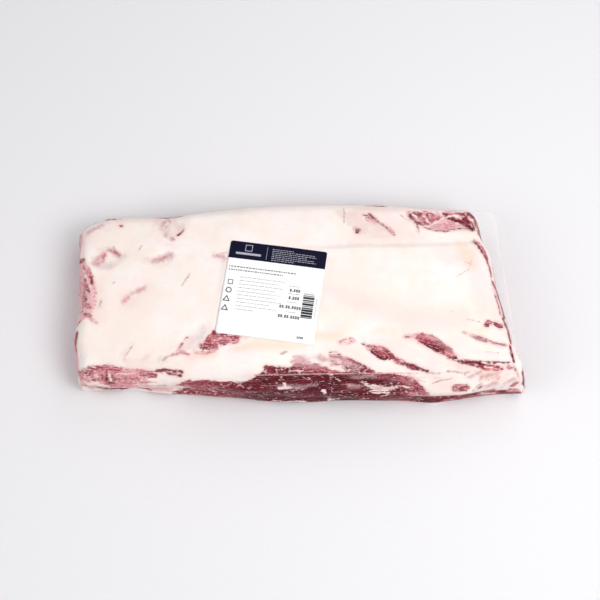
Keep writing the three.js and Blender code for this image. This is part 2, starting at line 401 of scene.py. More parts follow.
# %% Brush strokes over the surface
def stroke(points, half_widths):
    """How far inside the stroke each place is, and how far along and across it, in mm."""
    points = np.array(points, float)
    reach = points.shape[1]
    inside = np.full(len(surface), FAR_OUTSIDE)
    run = np.zeros(len(surface))
    side = np.zeros(len(surface))
    travelled = 0
    for a, b, wide_a, wide_b in zip(points, points[1:], half_widths, half_widths[1:]):
        along = b - a
        t = np.clip((surface[:, :reach] - a) @ along / (along @ along), 0, 1)
        apart = surface[:, :reach] - a - t[:, None] * along
        here = wide_a + (wide_b - wide_a) * t - np.linalg.norm(apart, axis=1)
        nearer = here > inside
        inside[nearer] = here[nearer]
        run[nearer] = (travelled + t * np.linalg.norm(along))[nearer]
        side[nearer] = (apart @ (np.arange(reach) * 0.8 + 0.4))[nearer]
        travelled += np.linalg.norm(along)
    on_cap = reach == 3 or surface[:, 2] > 33
    return np.where(on_cap, inside, FAR_OUTSIDE), run, side


LEAN_STROKES = [  # points, half widths, how dark
    # three slanting furrows between the ribs, from the front to the right end
    ([(63, -57), (67, -59)], (0.9, 1), 0.9),
    ([(68, -60), (75, -63.5), (83, -67), (91, -71)], (1.8, 5, 6, 3.6), 0.4),
    ([(75, -60), (83, -64), (90, -68)], (1.2, 1.8, 1.2), 0.1),
    ([(68, -63), (78, -71), (84, -74), (90, -72)], (0.9, 1.3, 1.4, 0.7), 0.95),
    ([(91, -71), (97, -74)], (2.8, 2.6), 0.6),
    ([(97, -75), (105, -78)], (2.9, 2.4), 0.05),
    ([(105, -78.5), (113, -81), (121, -83.5)], (2, 3, 1.2), 0.55),
    ([(121, -83.5), (128, -85.5)], (1.2, 0.9), 0.9),
    ([(108, -50), (115, -50), (122, -50.5)], (0.7, 1.9, 2.8), VEILED),
    ([(107, -50), (110, -50)], (0.8, 0.6), 0.9),
    ([(125, -50), (123, -46.5)], (1.6, 0.6), 0.6),
    ([(122, -52), (130, -54.5), (139, -60)], (5, 6.4, 5.6), 0.45),
    ([(127, -49.5), (135, -52.5), (141, -57)], (1, 1.6, 1.2), PINK),
    ([(126, -58), (137, -64), (146, -68)], (1.1, 1.6, 1.2), 0.85),
    ([(139, -60.5), (149, -66)], (5.6, 4.4), 0.5),
    ([(149, -67), (157, -71.5)], (3.4, 2.2), 0.15),
    ([(149, -72), (155, -74)], (1.2, 1), 0.8),
    ([(156, -73), (162, -76)], (1.3, 1.1), 0.9),
    ([(163, -75.5), (172, -77)], (2, 2.6), 0.6),
    ([(174, -77.5), (186, -80)], (2.6, 3.4), 0.5),
    ([(186, -80.5), (203, -81)], (3.2, 1.6), 0.35),
    ([(174, -75.5), (185, -76.5), (197, -76), (210, -76)], (0.8, 1.1, 0.9, 0.8), 0.85),
    ([(165, -45), (168, -46)], (0.9, 0.8), 0.7),
    ([(172, -48), (180, -51), (188, -54)], (1, 2.1, 1.9), 0.4),
    ([(188, -52.5), (195, -55.5), (207, -58)], (1.2, 0.9, 1), 0.7),
    ([(188.5, -37.5), (190, -34), (193.5, -35)], (2.6, 2.2, 1.4), 0.35),
    ([(198.5, -36), (203, -38.5)], (2.8, 3), 0.45),
    # where the cap thins out above the lean side
    ([(30, -68), (36, -68.5), (41, -71)], (1, 1.2, 0.8), 0.45),
    ([(32, -76), (42, -76.5)], (1, 1), 0.55),
    ([(31, -80.5), (42, -79.5)], (1.1, 1.2), 0.65),
    ([(31, -72), (40, -74.5), (50, -77), (60, -82)], (1.8, 3.4, 3.6, 2.4), VEILED),
    ([(30, -71), (37, -72), (44, -73.5)], (0.8, 1.2, 0.9), 0.5),
    ([(46, -77), (56, -81), (68, -86)], (2.6, 4.2, 3), -0.1),
    ([(48, -74.5), (57, -78), (65, -82)], (0.8, 1.1, 0.8), 0.6),
    ([(43, -81.5), (52, -84), (62, -85.5), (74, -87)], (1.3, 2.6, 2.4, 1.2), 0.6),
    ([(-8, -77), (0, -76), (10, -79)], (1, 2.4, 1.4), VEILED),
    ([(-34, -83), (-20, -84.5), (-8, -84)], (2.4, 2.4, 1.4), 0.7),
    ([(39, -57), (44, -55), (52, -52.5), (55, -55), (48, -58.5), (41, -58)],
     (0.8, 0.7, 0.8, 0.9, 0.7, 0.7), 0.2),
    # the patch at the label's lower left corner
    ([(-99, -60), (-92, -61), (-85, -61)], (2.6, 4, 3.4), 0.5),
    ([(-93, -57), (-87, -50), (-86, -44)], (3.8, 4.4, 2), 0.3),
    ([(-84, -54), (-75, -54), (-64, -54)], (4.8, 4.6, 3.2), 0.1),
    ([(-86, -47), (-72, -49.5), (-61, -51)], (1.4, 1.5, 1.9), 0.35),
    ([(-96, -63), (-88, -64)], (1.2, 1), 0.85),
    ([(-104, -66.5), (-94, -67), (-86, -64.5)], (1, 1.9, 1.4), VEILED),
    ([(-79, -59), (-75, -58)], (1.2, 1), 0.65),
    ([(-61, -51), (-54, -52)], (0.9, 0.6), -0.2),
    ([(-127, -69), (-119, -66), (-112, -68.5)], (1, 1.8, 1), -0.1),
    ([(-121, -61), (-118, -57)], (1, 0.8), 0.1),
    ([(-116, -53), (-113, -51)], (0.8, 0.9), PINK),
    # small places towards the left end
    ([(-207, 33), (-204, 37)], (2.2, 1.6), VEILED),
    ([(-203.5, 40.5), (-202, 42)], (1.6, 1.3), 0.1),
    ([(-192, 45), (-189, 42.5)], (0.9, 1.1), 0.4),
    ([(-143, 35), (-140, 37)], (1, 0.9), 0.2),
    ([(-179, -10.5), (-175, -7)], (0.9, 1), -0.1),
    ([(-187, 74), (-186, 74)], (1.5, 1.5), 0.1),
    ([(-127, 61), (-124, 64), (-121, 68)], (1.1, 1.1, 0.6), 0.5),
    ([(-133, 57), (-130, 57)], (1.3, 1), -0.3),
    ([(-150, 86, 43), (-142, 87, 44), (-134, 87, 45), (-122, 88, 46)], (2.4, 2.8, 2.2, 1.4), 0.7),
    ([(-203, 84, 43), (-189, 84, 46)], (1.6, 1.8), 0.9),
    # the cut face at the left end
    ([(-229, 39), (-223, 36)], (1.8, 1.2), 0.25),
    ([(-215, 19), (-213, 9)], (1, 1.2), 0.45),
    ([(-219, 5), (-216, 1)], (1.5, 1.4), 0.55),
    ([(-222, -5), (-219, -9)], (1.2, 1), 0.3),
    ([(-218, -14), (-214, -17)], (1.3, 1), 0.1),
    ([(-225, 30), (-221, 22), (-221, 10), (-223, -2), (-222, -20)], (0.6, 1, 0.8, 1.1, 0.7), 0.1),
    ([(-218, 26), (-216, 18)], (0.8, 1.1), -0.1),
    ([(-219, -24), (-212, -27)], (1.1, 1.2), 0.3),
    ([(-215, -27), (-211, -31), (-206, -34)], (1.6, 1.5, 0.9), -0.1),
    ([(-231, 5, 45), (-232, -24, 43)], (0.9, 1.2), 0.8),
    ([(-228, -43, 47), (-229, -52, 43), (-229, -60, 39)], (3.8, 4.2, 2.4), 0.45),
    ([(-222, -29.5, 49), (-228, -33, 46), (-232, -38, 40)], (0.9, 1.1, 0.9), DEEP),
    # the band at the front left corner and its tail
    ([(-226, -81, 36), (-213, -83, 42)], (2.2, 3), 0.2),
    ([(-213, -80), (-196, -79), (-182, -81)], (1.6, 2, 1.4), 0.25),
    ([(-210, -88, 38), (-190, -88, 42), (-176, -89, 42)], (1.2, 1.6, 1), 0.1),
    ([(-160, -86, 48), (-146, -87, 47)], (1.8, 2.4), 0.3),
    ([(-224, -90, 28), (-208, -92, 27), (-188, -92, 28)], (1.8, 2.4, 1.6), -0.45),
    ([(-214, -93, 16), (-190, -94, 16), (-166, -95, 20), (-134, -98, 22)], (3, 4, 4.6, 5), -0.55),
    ([(-195, -82, 48), (-195, -92, 36), (-189, -92, 36), (-190, -87, 44)], (0.3, 0.8, 0.8, 0.3), 0.55),
    ([(-218, -92, 30), (-210, -92, 19), (-201, -92, 12), (-182, -92, 13), (-168, -94, 20), (-153, -94, 16)],
     (1.1, 1.6, 2.1, 2.4, 1.9, 1.2), 0.65),
    ([(-144, -84), (-136, -83.5), (-118, -85.5)], (1.5, 1.7, 1), 0.4),
    ([(-133, -85.5), (-119, -89)], (1.3, 0.8), 0.4),
    # the hollow at the rear right corner
    ([(116, 86), (132, 83), (146, 82), (162, 80), (178, 75)], (2.4, 6.4, 7.4, 7, 4), -0.5),
    ([(113, 91, 49), (130, 92, 46), (148, 91, 46), (168, 91, 47), (182, 87, 42)],
     (1.4, 2.4, 2.4, 3, 3), -0.35),
    ([(113, 87), (120, 88), (129, 87)], (1, 3.2, 3.2), 0.3),
    ([(115, 84), (122, 79), (130, 74)], (0.9, 1.8, 2), 0.5),
    ([(130, 84), (137, 84.5), (144, 85)], (4.2, 4.6, 3), 0.1),
    ([(128, 75), (136, 79)], (1.6, 2), 0.3),
    ([(152, 91), (163, 90), (174, 85)], (2.8, 3.6, 2.6), -0.1),
    ([(137, 71.5), (147, 73), (158, 74.5), (168, 74)], (2.2, 4.6, 4.4, 1.8), VEILED),
    ([(129, 71.5), (139, 68), (151, 67), (158, 69), (168, 73)], (1, 0.8, 0.9, 0.9, 0.8), 0.7),
    ([(147, 91), (153, 89), (160, 86.5)], (0.8, 1.2, 0.8), 0.85),
    ([(151, 88), (157, 85.5), (165, 82.5), (174, 79)], (0.9, 1.7, 1.5, 1.8), DEEP),
    ([(165, 90), (171, 89)], (1.4, 1.6), 0.35),
    ([(173, 82), (178, 77), (180, 72)], (3.6, 4.6, 3.6), 0.65),
    ([(121, 92), (126, 90)], (0.8, 1), 0.9),
    ([(133, 89), (139, 90)], (0.9, 0.8), 0.8),
    ([(167, 92, 47), (176, 89, 46), (187, 84, 42), (191, 76, 40)], (2.4, 3, 3.4, 2.6), 0.4),
    ([(177, 89), (183, 84), (188, 74)], (3, 4.4, 2.6), 0.4),
    ([(181, 88, 44), (189, 79, 40)], (1.3, 1.6), DEEP),
    ([(120, 78), (122, 73), (123, 67)], (0.8, 1, 0.8), 0.8),
    # marks along the rear
    ([(59.5, 66.5), (61, 68.5)], (2.8, 2), 0.7),
    ([(72, 88), (80, 80), (90, 72), (98, 63)], (0.7, 1, 0.9, 1), 0.75),
    ([(71, 82), (76, 79)], (2.2, 1.4), -0.25),
    ([(93, 69), (97, 66)], (1.4, 1.2), -0.2),
    ([(66, 86.5), (70, 85.5)], (0.9, 0.8), 0.4),
    ([(70, 101, 45), (78, 101, 44), (91, 100, 44)], (0.8, 1.2, 0.8), 0.8),
    # the edge of the cap at the right end
    ([(181, 57), (185, 52), (189, 44), (192, 38)], (1, 3, 3.4, 2.4), 0.2),
    ([(179, 55.5), (183, 50), (188, 41), (191, 36)], (0.9, 1, 0.9, 0.8), 0.9),
    ([(192, 38), (195, 28), (197, 18)], (1.9, 1.5, 1), 0.5),
    ([(196, 17), (199, 8), (203, 0), (206, -12), (208, -27)], (1, 1.7, 1.4, 1.1, 1.3), 0.6),
    ([(198, 2), (202, -14), (204, -26)], (0.8, 0.8, 0.7), 0.3),
    ([(206, -29), (209, -35), (212, -43)], (0.8, 1.6, 1), 0.8),
    ([(211, -44), (213, -56)], (0.8, 0.8), 0.6),
    ([(212, -57), (213, -66), (215, -75)], (1, 1.4, 0.8), 0.75),
    ([(215, -77, 51), (217, -82, 49), (221, -88, 43), (227, -90, 30)], (0.7, 0.7, 1, 1.1), 0.7),
    # the front right corner
    ([(156, -99, 45), (168, -99, 44)], (3.6, 3.4), PINK),
    ([(155, -101, 42), (167, -100, 41)], (2.2, 1.8), 0.3),
    ([(98, -92, 55), (110, -95, 50), (121, -99, 45)], (1.5, 4.6, 3.4), 0.4),
    ([(95, -106, 26), (123, -104, 19), (145, -103, 15), (164, -102, 15)], (8, 8.5, 8, 6.5), 0.9),
    ([(112, -103, 34), (128, -103, 30), (142, -103, 27)], (2.6, 2, 1.4), -0.1),
    ([(166, -101, 18), (176, -100, 22), (186, -99, 26), (196, -97, 28)], (5, 5.5, 4.6, 3.4), 0.35),
    ([(168, -101, 16), (178, -100, 20)], (3.2, 2.8), 0.85),
    ([(171, -100, 26), (176, -99, 36), (183, -97, 42)], (1.3, 1.8, 1.2), 0.65),
    ([(177, -100, 31), (186, -98, 33)], (2, 1.4), -0.1),
    ([(150, -102, 8), (175, -101, 11), (200, -98, 13), (222, -95, 15)], (7, 7, 7, 5.5), 0.5),
    ([(196, -98, 22), (206, -97, 22)], (3.4, 3.4), 0.6),
    ([(190, -99, 19), (200, -98, 18)], (1.6, 1.4), -0.3),
    ([(207, -97, 22), (214, -96, 23)], (2.4, 2.2), DEEP),
    ([(214, -96, 24), (222, -95, 22)], (2.6, 1.6), -0.1),
    ([(216, -93, 31), (219, -91, 38)], (3, 2.4), 0.25),
    ([(205, -94, 30), (207, -90, 41), (209, -85, 46)], (1, 1, 0.9), 0.45),
    ([(196, -91, 44), (200, -89, 46)], (1.1, 0.9), 0.1),
    ([(209, -80), (214, -80)], (1.2, 1), 0.1),
]

for number, (points, half_widths, how_dark) in enumerate(LEAN_STROKES):
    inside, run, side = stroke(points, half_widths)
    painted = inside > -PAINT_MARGIN
    fibre[painted] = np.stack([run, side, 0 * run + 7 * number], -1)[painted]
    cover(inside, how_dark)
print(len(LEAN_STROKES), "strokes, lean covers", f"{(lean > 0).mean():.1%}", "of the surface")

# %% [markdown]
# ## Fat in the lean, and tints in the fat
#
# Flakes and strands of fat were left on the bare muscle. The fat itself is far from plain: thin membranes
# lie over it like grey veils, juice under the film has left pinkish grey stains, it blushes where lean
# shines through, and it is yellowish where it is thickest. Hairlines mark the seams between muscles, and a
# faint line along the lip step is painted shade in its crease. All of these are strokes again. The depth of
# the grooves, the hollows and the lip step is kept too, so that the material can paint shade into them.

# %% Flakes, veils, tints, hairlines and painted shade
FLAKES = [
    ([(58, -93, 52), (68, -97, 47), (79, -100, 43), (88, -100, 42), (97, -98, 43)],
     (0.5, 2.2, 3.6, 3.2, 1.6)),
    ([(64, -100, 42), (76, -102, 38), (90, -102, 37)], (0.5, 1.4, 0.7)),
    ([(82, -104, 33), (96, -102, 37)], (1, 0.6)),
    ([(98, -97, 46), (108, -98, 43), (116, -98, 44)], (0.9, 1.6, 1)),
    ([(-20, -100, 44), (-9, -99, 45)], (2, 0.9)),
    ([(24, -102, 41), (25, -102, 38)], (2, 1.8)),
    ([(-82, -102, 14), (-70, -103, 13), (-62, -104, 13)], (1, 2, 1)),
    ([(-44, -104, 13), (-34, -105, 12), (-30, -105, 14)], (1, 1.8, 1)),
    ([(-28, -105, 17), (-14, -105, 15), (6, -105, 13)], (0.6, 1.2, 1.6)),
    ([(30, -104, 13), (42, -104, 13)], (2, 1.4)),
    ([(-114, -100, 17), (-104, -101, 15)], (1.2, 1.8)),
    ([(-96, -102, 19), (-90, -102, 16)], (0.6, 0.7)),
    ([(16, -105, 22), (30, -105, 20), (46, -104, 22)], (0.5, 0.9, 0.5)),
    ([(-30, -98, 47), (-24, -96, 50)], (0.5, 0.5)),
    ([(-44, -98, 42), (-36, -101, 37)], (0.5, 0.6)),
    ([(-16, -96, 50), (-14, -100, 44)], (0.6, 0.5)),
    ([(-193, -85, 45), (-191, -90, 39)], (1, 1.5)),
    ([(-172, -90, 41), (-147, -91, 42)], (0.6, 0.8)),
    ([(-170, -92, 38), (-147, -93, 38)], (0.6, 0.8)),
    ([(-178, -93, 34), (-147, -94, 35)], (0.6, 0.8)),
    ([(-186, -86, 44), (-170, -86, 46)], (0.9, 0.5)),
    ([(-222, -84, 40), (-202, -87, 41)], (0.6, 0.8)),
    ([(29, -83), (40, -84.5), (45, -86)], (1, 1.5, 0.8)),
    ([(28, -87, 58), (33, -91, 56), (40, -95, 52)], (0.5, 0.7, 0.5)),
    ([(-84, -61.5), (-70, -58.5)], (0.9, 1)),
    ([(67, -62), (70, -63)], (1, 0.8)),
    ([(187, -80), (193, -80.3)], (0.7, 0.7)),
    ([(129, 73), (137, 76), (144, 81), (151, 85)], (1.1, 1.3, 1.3, 1)),
    ([(150, 86), (147, 91)], (1.1, 1.2)),
    ([(129, 90), (132, 85), (134, 80)], (0.8, 1.3, 0.8)),
    ([(163, 79), (170, 76)], (0.9, 0.9)),
    ([(116, 90), (122, 86), (124, 82)], (0.7, 1, 0.7)),
    ([(152, 86), (160, 88), (168, 87)], (0.8, 1, 0.8)),
    ([(140, 93, 45), (156, 93, 46), (170, 92, 47)], (1, 1.4, 1)),
    ([(176, 86), (182, 82)], (0.5, 0.7)),
    ([(-222, 18), (-220, 17)], (1.3, 1.1)),
    ([(-215, 6), (-214, 3)], (1.5, 1.2)),
    ([(-224, 26), (-222, 22)], (0.7, 0.9)),
    ([(-221, -18), (-219, -22)], (0.8, 0.7)),
]
VEILS = [
    ([(-119, -64), (-108, -54), (-97, -42)], (3, 5, 3.5)),
    ([(-106, -62), (-99, -56)], (3, 2)),
    ([(-139, -75), (-132, -71), (-125, -68)], (2.4, 2, 1.4)),
    ([(-212, 35), (-205, 29), (-194, 28)], (4, 5, 4)),
    ([(-208, 45), (-198, 49)], (3, 3)),
    ([(-186, 39), (-180, 40)], (3, 2)),
    ([(-160, 34), (-146, 33), (-134, 38)], (3, 5, 4.5)),
    ([(-147, 80), (-138, 74), (-140, 64)], (4, 5, 3)),
    ([(-134, 80), (-124, 70)], (5, 5)),
    ([(40, 88), (58, 80), (66, 72)], (4, 9, 8)),
    ([(74, 76), (86, 72)], (6, 5)),
    ([(-82, 38), (-78, 34)], (3, 3)),
    ([(5, -72), (35, -76), (58, -82)], (2, 5, 3)),
    ([(126, -49.5), (140, -56), (152, -65)], (2, 2.4, 1.6)),
    ([(170, -49), (190, -55), (205, -60)], (2, 3, 3)),
    ([(150, -80), (170, -84)], (3, 3)),
    ([(-202, -11), (-203, -18)], (1.6, 1.6)),
    ([(-177, -70), (-168, -58)], (2, 1.4)),
    ([(-156, -73), (-149, -64)], (1.6, 1.2)),
    ([(-20, -99, 45), (0, -99, 45), (18, -97, 48)], (3, 3.4, 2)),
    ([(-2, -78), (20, -81), (30, -83)], (4, 3, 1)),
    ([(50, -90, 56), (80, -91, 55), (112, -95, 50)], (2, 2.4, 1)),
    ([(50, -99, 46), (58, -100, 44)], (4, 3)),
    ([(-110, -103, 30), (-60, -104, 26)], (2, 3)),
]
STAINS = [
    ([(62, -95, 49), (80, -100, 42), (97, -98, 43)], (0.5, 1.8, 1.5)),
    ([(-226, -87, 33), (-212, -90, 31), (-196, -91, 32)], (1.5, 2.6, 1)),
    ([(-176, -92, 32), (-156, -93, 33), (-138, -95, 34)], (1, 2, 2.4)),
    ([(-210, 31), (-206, 36), (-202, 43)], (3.6, 4.2, 2.4)),
    ([(-221, 66), (-215, 72), (-207, 76)], (1.4, 1.8, 0.4)),
    ([(-198, 46), (-192, 45), (-187, 40.5)], (1.2, 2, 1.2)),
    ([(-150, 33), (-142, 35.5), (-134, 40)], (1.6, 3.4, 2)),
    ([(-180, -11), (-173, -4), (-167, 0), (-160, 3)], (1.2, 1.8, 1.8, 1)),
    ([(-145, 72), (-141, 80)], (1, 1)),
    ([(-139, 62), (-132, 58)], (0.8, 1.4)),
    ([(-88, 39), (-78, 35)], (0.8, 0.4)),
    ([(74, 85), (80, 78)], (2.4, 1.6)),
    ([(92, 70), (97, 66)], (1.4, 1.2)),
    ([(58, 70), (62, 64)], (1.6, 0.6)),
    ([(182, -90), (192, -87), (200, -84)], (1, 2.4, 1.6)),
    ([(186, -97, 40), (199, -93, 42)], (2, 1.4)),
    ([(170, -90, 52), (181, -85, 53), (189, -79, 54)], (1, 1.8, 0.8)),
    ([(208, -93, 40), (216, -90, 43)], (1.2, 1.6)),
    ([(-124, -66), (-120, -60)], (1, 0.6)),
    ([(106, -50), (118, -50)], (0.6, 1.4)),
    ([(108, -91, 54), (124, -94, 50)], (1.6, 0.6)),
    ([(-222, -89, 33), (-210, -91, 28)], (2.4, 2)),
    ([(20, -74), (30, -76)], (1.6, 1)),
    ([(-6, -72), (2, -73), (10, -75)], (0.6, 1.4, 0.8)),
]
BLUSHES = [
    ([(30, 0), (80, -22), (120, -34), (160, -30)], (8, 12, 14, 12)),
    ([(44, -62), (60, -72), (96, -88), (150, -92)], (6, 5, 6, 6)),
    ([(86, -56), (118, -70), (150, -82), (200, -92)], (6, 6, 6, 6)),
    ([(152, -56), (180, -66), (206, -70)], (5, 6, 4)),
    ([(150, 40), (176, 34), (184, 18), (188, -20)], (8, 12, 10, 8)),
    ([(60, 88), (84, 90), (108, 72)], (9, 9, 6)),
    ([(-150, 80), (-140, 66), (-128, 62)], (7, 9, 6)),
    ([(-222, 60), (-205, 75), (-185, 78)], (9, 7, 4)),
    ([(-180, -12), (-160, 4)], (9, 9)),
    ([(178, 40), (192, 0), (205, -50)], (7, 8, 9)),
    ([(160, -84), (190, -86), (214, -84)], (5, 7, 5)),
    ([(60, 60), (96, 62)], (6, 7)),
    ([(-170, -74), (-150, -76)], (5, 4)),
    ([(62, -80), (100, -84), (150, -93)], (5, 4, 8)),
    ([(-206, 8), (-206, -28)], (6, 5)),
    ([(-84, 38), (-76, 32)], (7, 6)),
    ([(-133, 54), (-126, 56)], (4, 3)),
    ([(-124, -62), (-112, -72), (-96, -70)], (4, 5, 4)),
    ([(-132, -100, 30), (-140, -96, 34)], (6, 6)),
    ([(-40, -95), (-52, -90)], (3, 4)),
    ([(108, -50), (150, -70)], (5, 6)),
    ([(112, 94), (100, 90)], (5, 4)),
    ([(104, 66), (120, 62)], (6, 5)),
]
WARM_PATCHES = [
    ([(16, -50), (30, -51), (42, -50)], (2, 3, 0.5)),
    ([(-66, -64), (-40, -60), (-22, -60), (4, -62)], (0.5, 3, 3.5, 1)),
    ([(-112, -72), (-88, -70)], (0.5, 2)),
    ([(74, -47), (84, -44), (96, -45)], (0.5, 2, 0.5)),
    ([(164, 50), (171, 40), (177, 26)], (4, 8, 3)),
    ([(-214, 0), (-214, -20)], (5, 5)),
    ([(-218, -90, 32), (-205, -92, 24)], (6, 6)),
    ([(186, -84), (200, -86)], (4, 5)),
    ([(168, -44), (188, -42)], (0.5, 2)),
]
HAIRLINES_AND_CREASE_SHADE = [
    ([(-197, 46.5), (-192, 44.5), (-187, 40.5)], (0.3, 1.2, 0.4)),
    ([(-144, 34), (-139, 37.5)], (0.4, 0.7)),
    ([(-206, 31), (-203, 40)], (0, -0.3)),
    # painted shade: a faint darker line in the crease of the lip step
    ([(43, 44), (93, 50), (119, 54), (158, 53), (178, 56)], (-0.7, -0.45, -0.5, -0.6, -0.2)),
    ([(20, 33), (40, 38), (62, 40)], (-0.7, -0.4, -0.7)),
    ([(90, 60), (112, 62), (140, 59), (168, 62)], (-0.8, -0.5, -0.5, -0.8)),
    ([(48, -10), (60, -22), (66, -40)], (-0.8, -0.5, -0.8)),
    ([(110, -18), (132, -24), (150, -22)], (-0.8, -0.5, -0.5)),
    ([(150, -40), (160, -62)], (-0.6, -0.8)),
    ([(96, -84), (116, -90), (140, -92), (166, -90)], (-0.7, -0.3, -0.3, -0.7)),
    ([(-200, -66), (-192, -54)], (-0.7, -0.7)),
    ([(-96, 66), (-90, 82)], (-0.8, -0.5)),
    ([(120, -83.5), (130, -87), (140, -88)], (0.4, 0.5, 0.4)),
    ([(147, -86), (156, -86), (165, -88)], (0.9, 0.9, 0.6)),
    ([(174, -101, 38), (179, -97, 43), (185, -93, 45), (193, -90, 47)], (0.5, 0.7, 0.5, 0.2)),
    ([(130, -97, 49), (140, -94, 52), (152, -92, 53)], (0.3, 0.6, 0.3)),
    ([(155, -86, 57), (166, -87, 55), (178, -83, 54)], (0.2, 0.4, 0.1)),
    ([(-139, -75), (-132, -71), (-125, -68)], (0.6, 0.7, 0.5)),
    ([(-120, 5), (-116, 12), (-112, 19)], (0.5, 0.8, 0.3)),
    ([(-167, 45), (-163, 51)], (0.3, 0.3)),
    ([(46, 95), (46, 88), (46, 76)], (0.3, 0.8, 0.3)),
    ([(-19, -69), (-13, -66)], (1, 0.8)),
    ([(-193, 50), (-192, 45), (-186, 40)], (0.6, 0.8, 0.6)),
    ([(-86, 39), (-76, 41)], (0.4, 0.4)),
    ([(-140, 86), (-135, 79), (-141, 70)], (0.7, 0.5, 0.2)),
    ([(41, -71), (50, -74), (58, -78), (68, -83)], (0.7, 0.6, 0.6, 0.5)),
    ([(103, 88), (108, 84), (113, 81)], (0.2, 0.6, 0.7)),
    ([(-203, -11), (-204, -18)], (0.6, 0.4)),
    ([(-192, 8), (-189, 10)], (0.2, 0.3)),
    ([(167, 32), (176, 29)], (0.1, 0.1)),
    ([(-177, -72), (-168, -58)], (0.1, 0.1)),
    ([(160, 15), (172, 22), (177, 34)], (0.1, 0.3, 0.1)),
    ([(150, -22), (156, -24)], (0.2, 0.1)),
    ([(166, -30), (182, -34)], (0.1, 0.3)),
    ([(182, -66), (200, -66)], (0.2, 0.1)),
]


def strokes_field(strokes):
    return np.maximum.reduce([stroke(points, half_widths)[0] for points, half_widths in strokes])


flake = strokes_field(FLAKES)
veil = strokes_field(VEILS)
stain = strokes_field(STAINS)
blush = strokes_field(BLUSHES)
warm = strokes_field(WARM_PATCHES)
hairline_and_crease_shade = strokes_field(HAIRLINES_AND_CREASE_SHADE)
lean_depth = np.minimum(lean, -flake)
# how deep the cap's grooves, hollows and lip step lie; the meat's material paints shade into them
groove = np.maximum(0, -cap_relief(x, y)) * smooth_step(40, 50, z) * (1 - under_label(x, y))
print("flakes:", (flake > 0).sum(), "points, veils:", (veil > 0).sum(), "points")

# %% [markdown]
# ## The meat
#
# The lean lies a little deeper than the fat that overlaps it, and its fibres run along the roast as fine
# ridges. The fat has a soft unevenness. All of it stays below the film, which is drawn over the highest
# places.

# %% Build the roast
FILM_GAP = 0.5  # from the drawn surface out to the film, in mm


def mesh_piece(name, points, faces, smooth=True):
    """A new mesh object from points in drawing millimetres."""
    mesh = bpy.data.meshes.new(name)
    mesh.from_pydata(placed(points).tolist(), [], faces if isinstance(faces, list) else faces.tolist())
    if smooth:
        mesh.shade_smooth()
    else:
        mesh.shade_flat()
    mesh.validate()
    piece = bpy.data.objects.new(name, mesh)
    bpy.context.collection.objects.link(piece)
    return piece


def store_field(piece, name, values):
    """Keeps a number, or three, for each point of a piece, for its material to read."""
    values = np.asarray(values, np.float32)
    if values.ndim == 1:
        piece.data.attributes.new(name, "FLOAT", "POINT").data.foreach_set("value", values)
    else:
        piece.data.attributes.new(name, "FLOAT_VECTOR", "POINT").data.foreach_set("vector", values.ravel())


in_lean = smooth_step(-0.5, 2.5, lean_depth)
ridges = soft_noise(fibre, 3, 11, (7, 1, 1)) + 0.6 * soft_noise(surface, 6, 12, (4, 1, 1))
lumps = soft_noise(surface, 16, 13) + 0.5 * soft_noise(surface, 7, 14)
sunk = in_lean * (0.75 - 0.35 * ridges) + (1 - in_lean) * (0.35 - 0.16 * lumps)
sunk += 0.4 * smooth_step(-0.5, 0.6, hairline_and_crease_shade) - 0.5 * smooth_step(0, 2, flake)
sunk = np.maximum(sunk, -0.1) * smooth_step(0, 3, z)
roast = mesh_piece("roast", surface - outward * sunk[:, None], block_faces)
roast_fields = {
    "lean": lean_depth,
    "tone": tone,
    "fibre": fibre,
    "veil": veil,
    "stain": stain,
    "blush": blush,
    "warm": warm,
    "hairline_and_crease_shade": hairline_and_crease_shade,
    "groove": groove,
}
for field_name, values in roast_fields.items():
    store_field(roast, field_name, values)
print("roast:", len(roast.data.polygons), "faces, sunk up to", sunk.max().round(2), "mm")

# %% [markdown]
# ## A short way to write materials
#
# A material is a network of nodes, which is slow to write one link at a time. A small class wraps a
# socket, so that ordinary sums on it add the Math nodes. A second one makes every other node with one
# method.

# %% Sockets that can be added and multiplied
class Wire:
    """An output socket in a material, usable in sums."""

    def __init__(self, tree, socket):
        self.tree = tree
        self.socket = socket

    def math(self, operation, *terms):
        node = self.tree.nodes.new("ShaderNodeMath")
        node.operation = operation
        for slot, term in zip(node.inputs, terms):
            if isinstance(term, Wire):
                self.tree.links.new(term.socket, slot)
            else:
                slot.default_value = term
        return Wire(self.tree, node.outputs[0])

    def __add__(self, other):
        return self.math("ADD", self, other)

    def __radd__(self, other):
        return self.math("ADD", other, self)

    def __sub__(self, other):
        return self.math("SUBTRACT", self, other)

    def __rsub__(self, other):
        return self.math("SUBTRACT", other, self)

    def __mul__(self, other):
        return self.math("MULTIPLY", self, other)

    def __rmul__(self, other):
        return self.math("MULTIPLY", other, self)

    def __abs__(self):
        return self.math("ABSOLUTE", self)


def srgb(red, green, blue):
    """A colour as a picture gives it, from 0 to 255, turned into amounts of light."""
    parts = [c / 255 for c in (red, green, blue)]
    return tuple(c / 12.92 if c <= 0.04045 else ((c + 0.055) / 1.055) ** 2.4 for c in parts) + (1.0,)


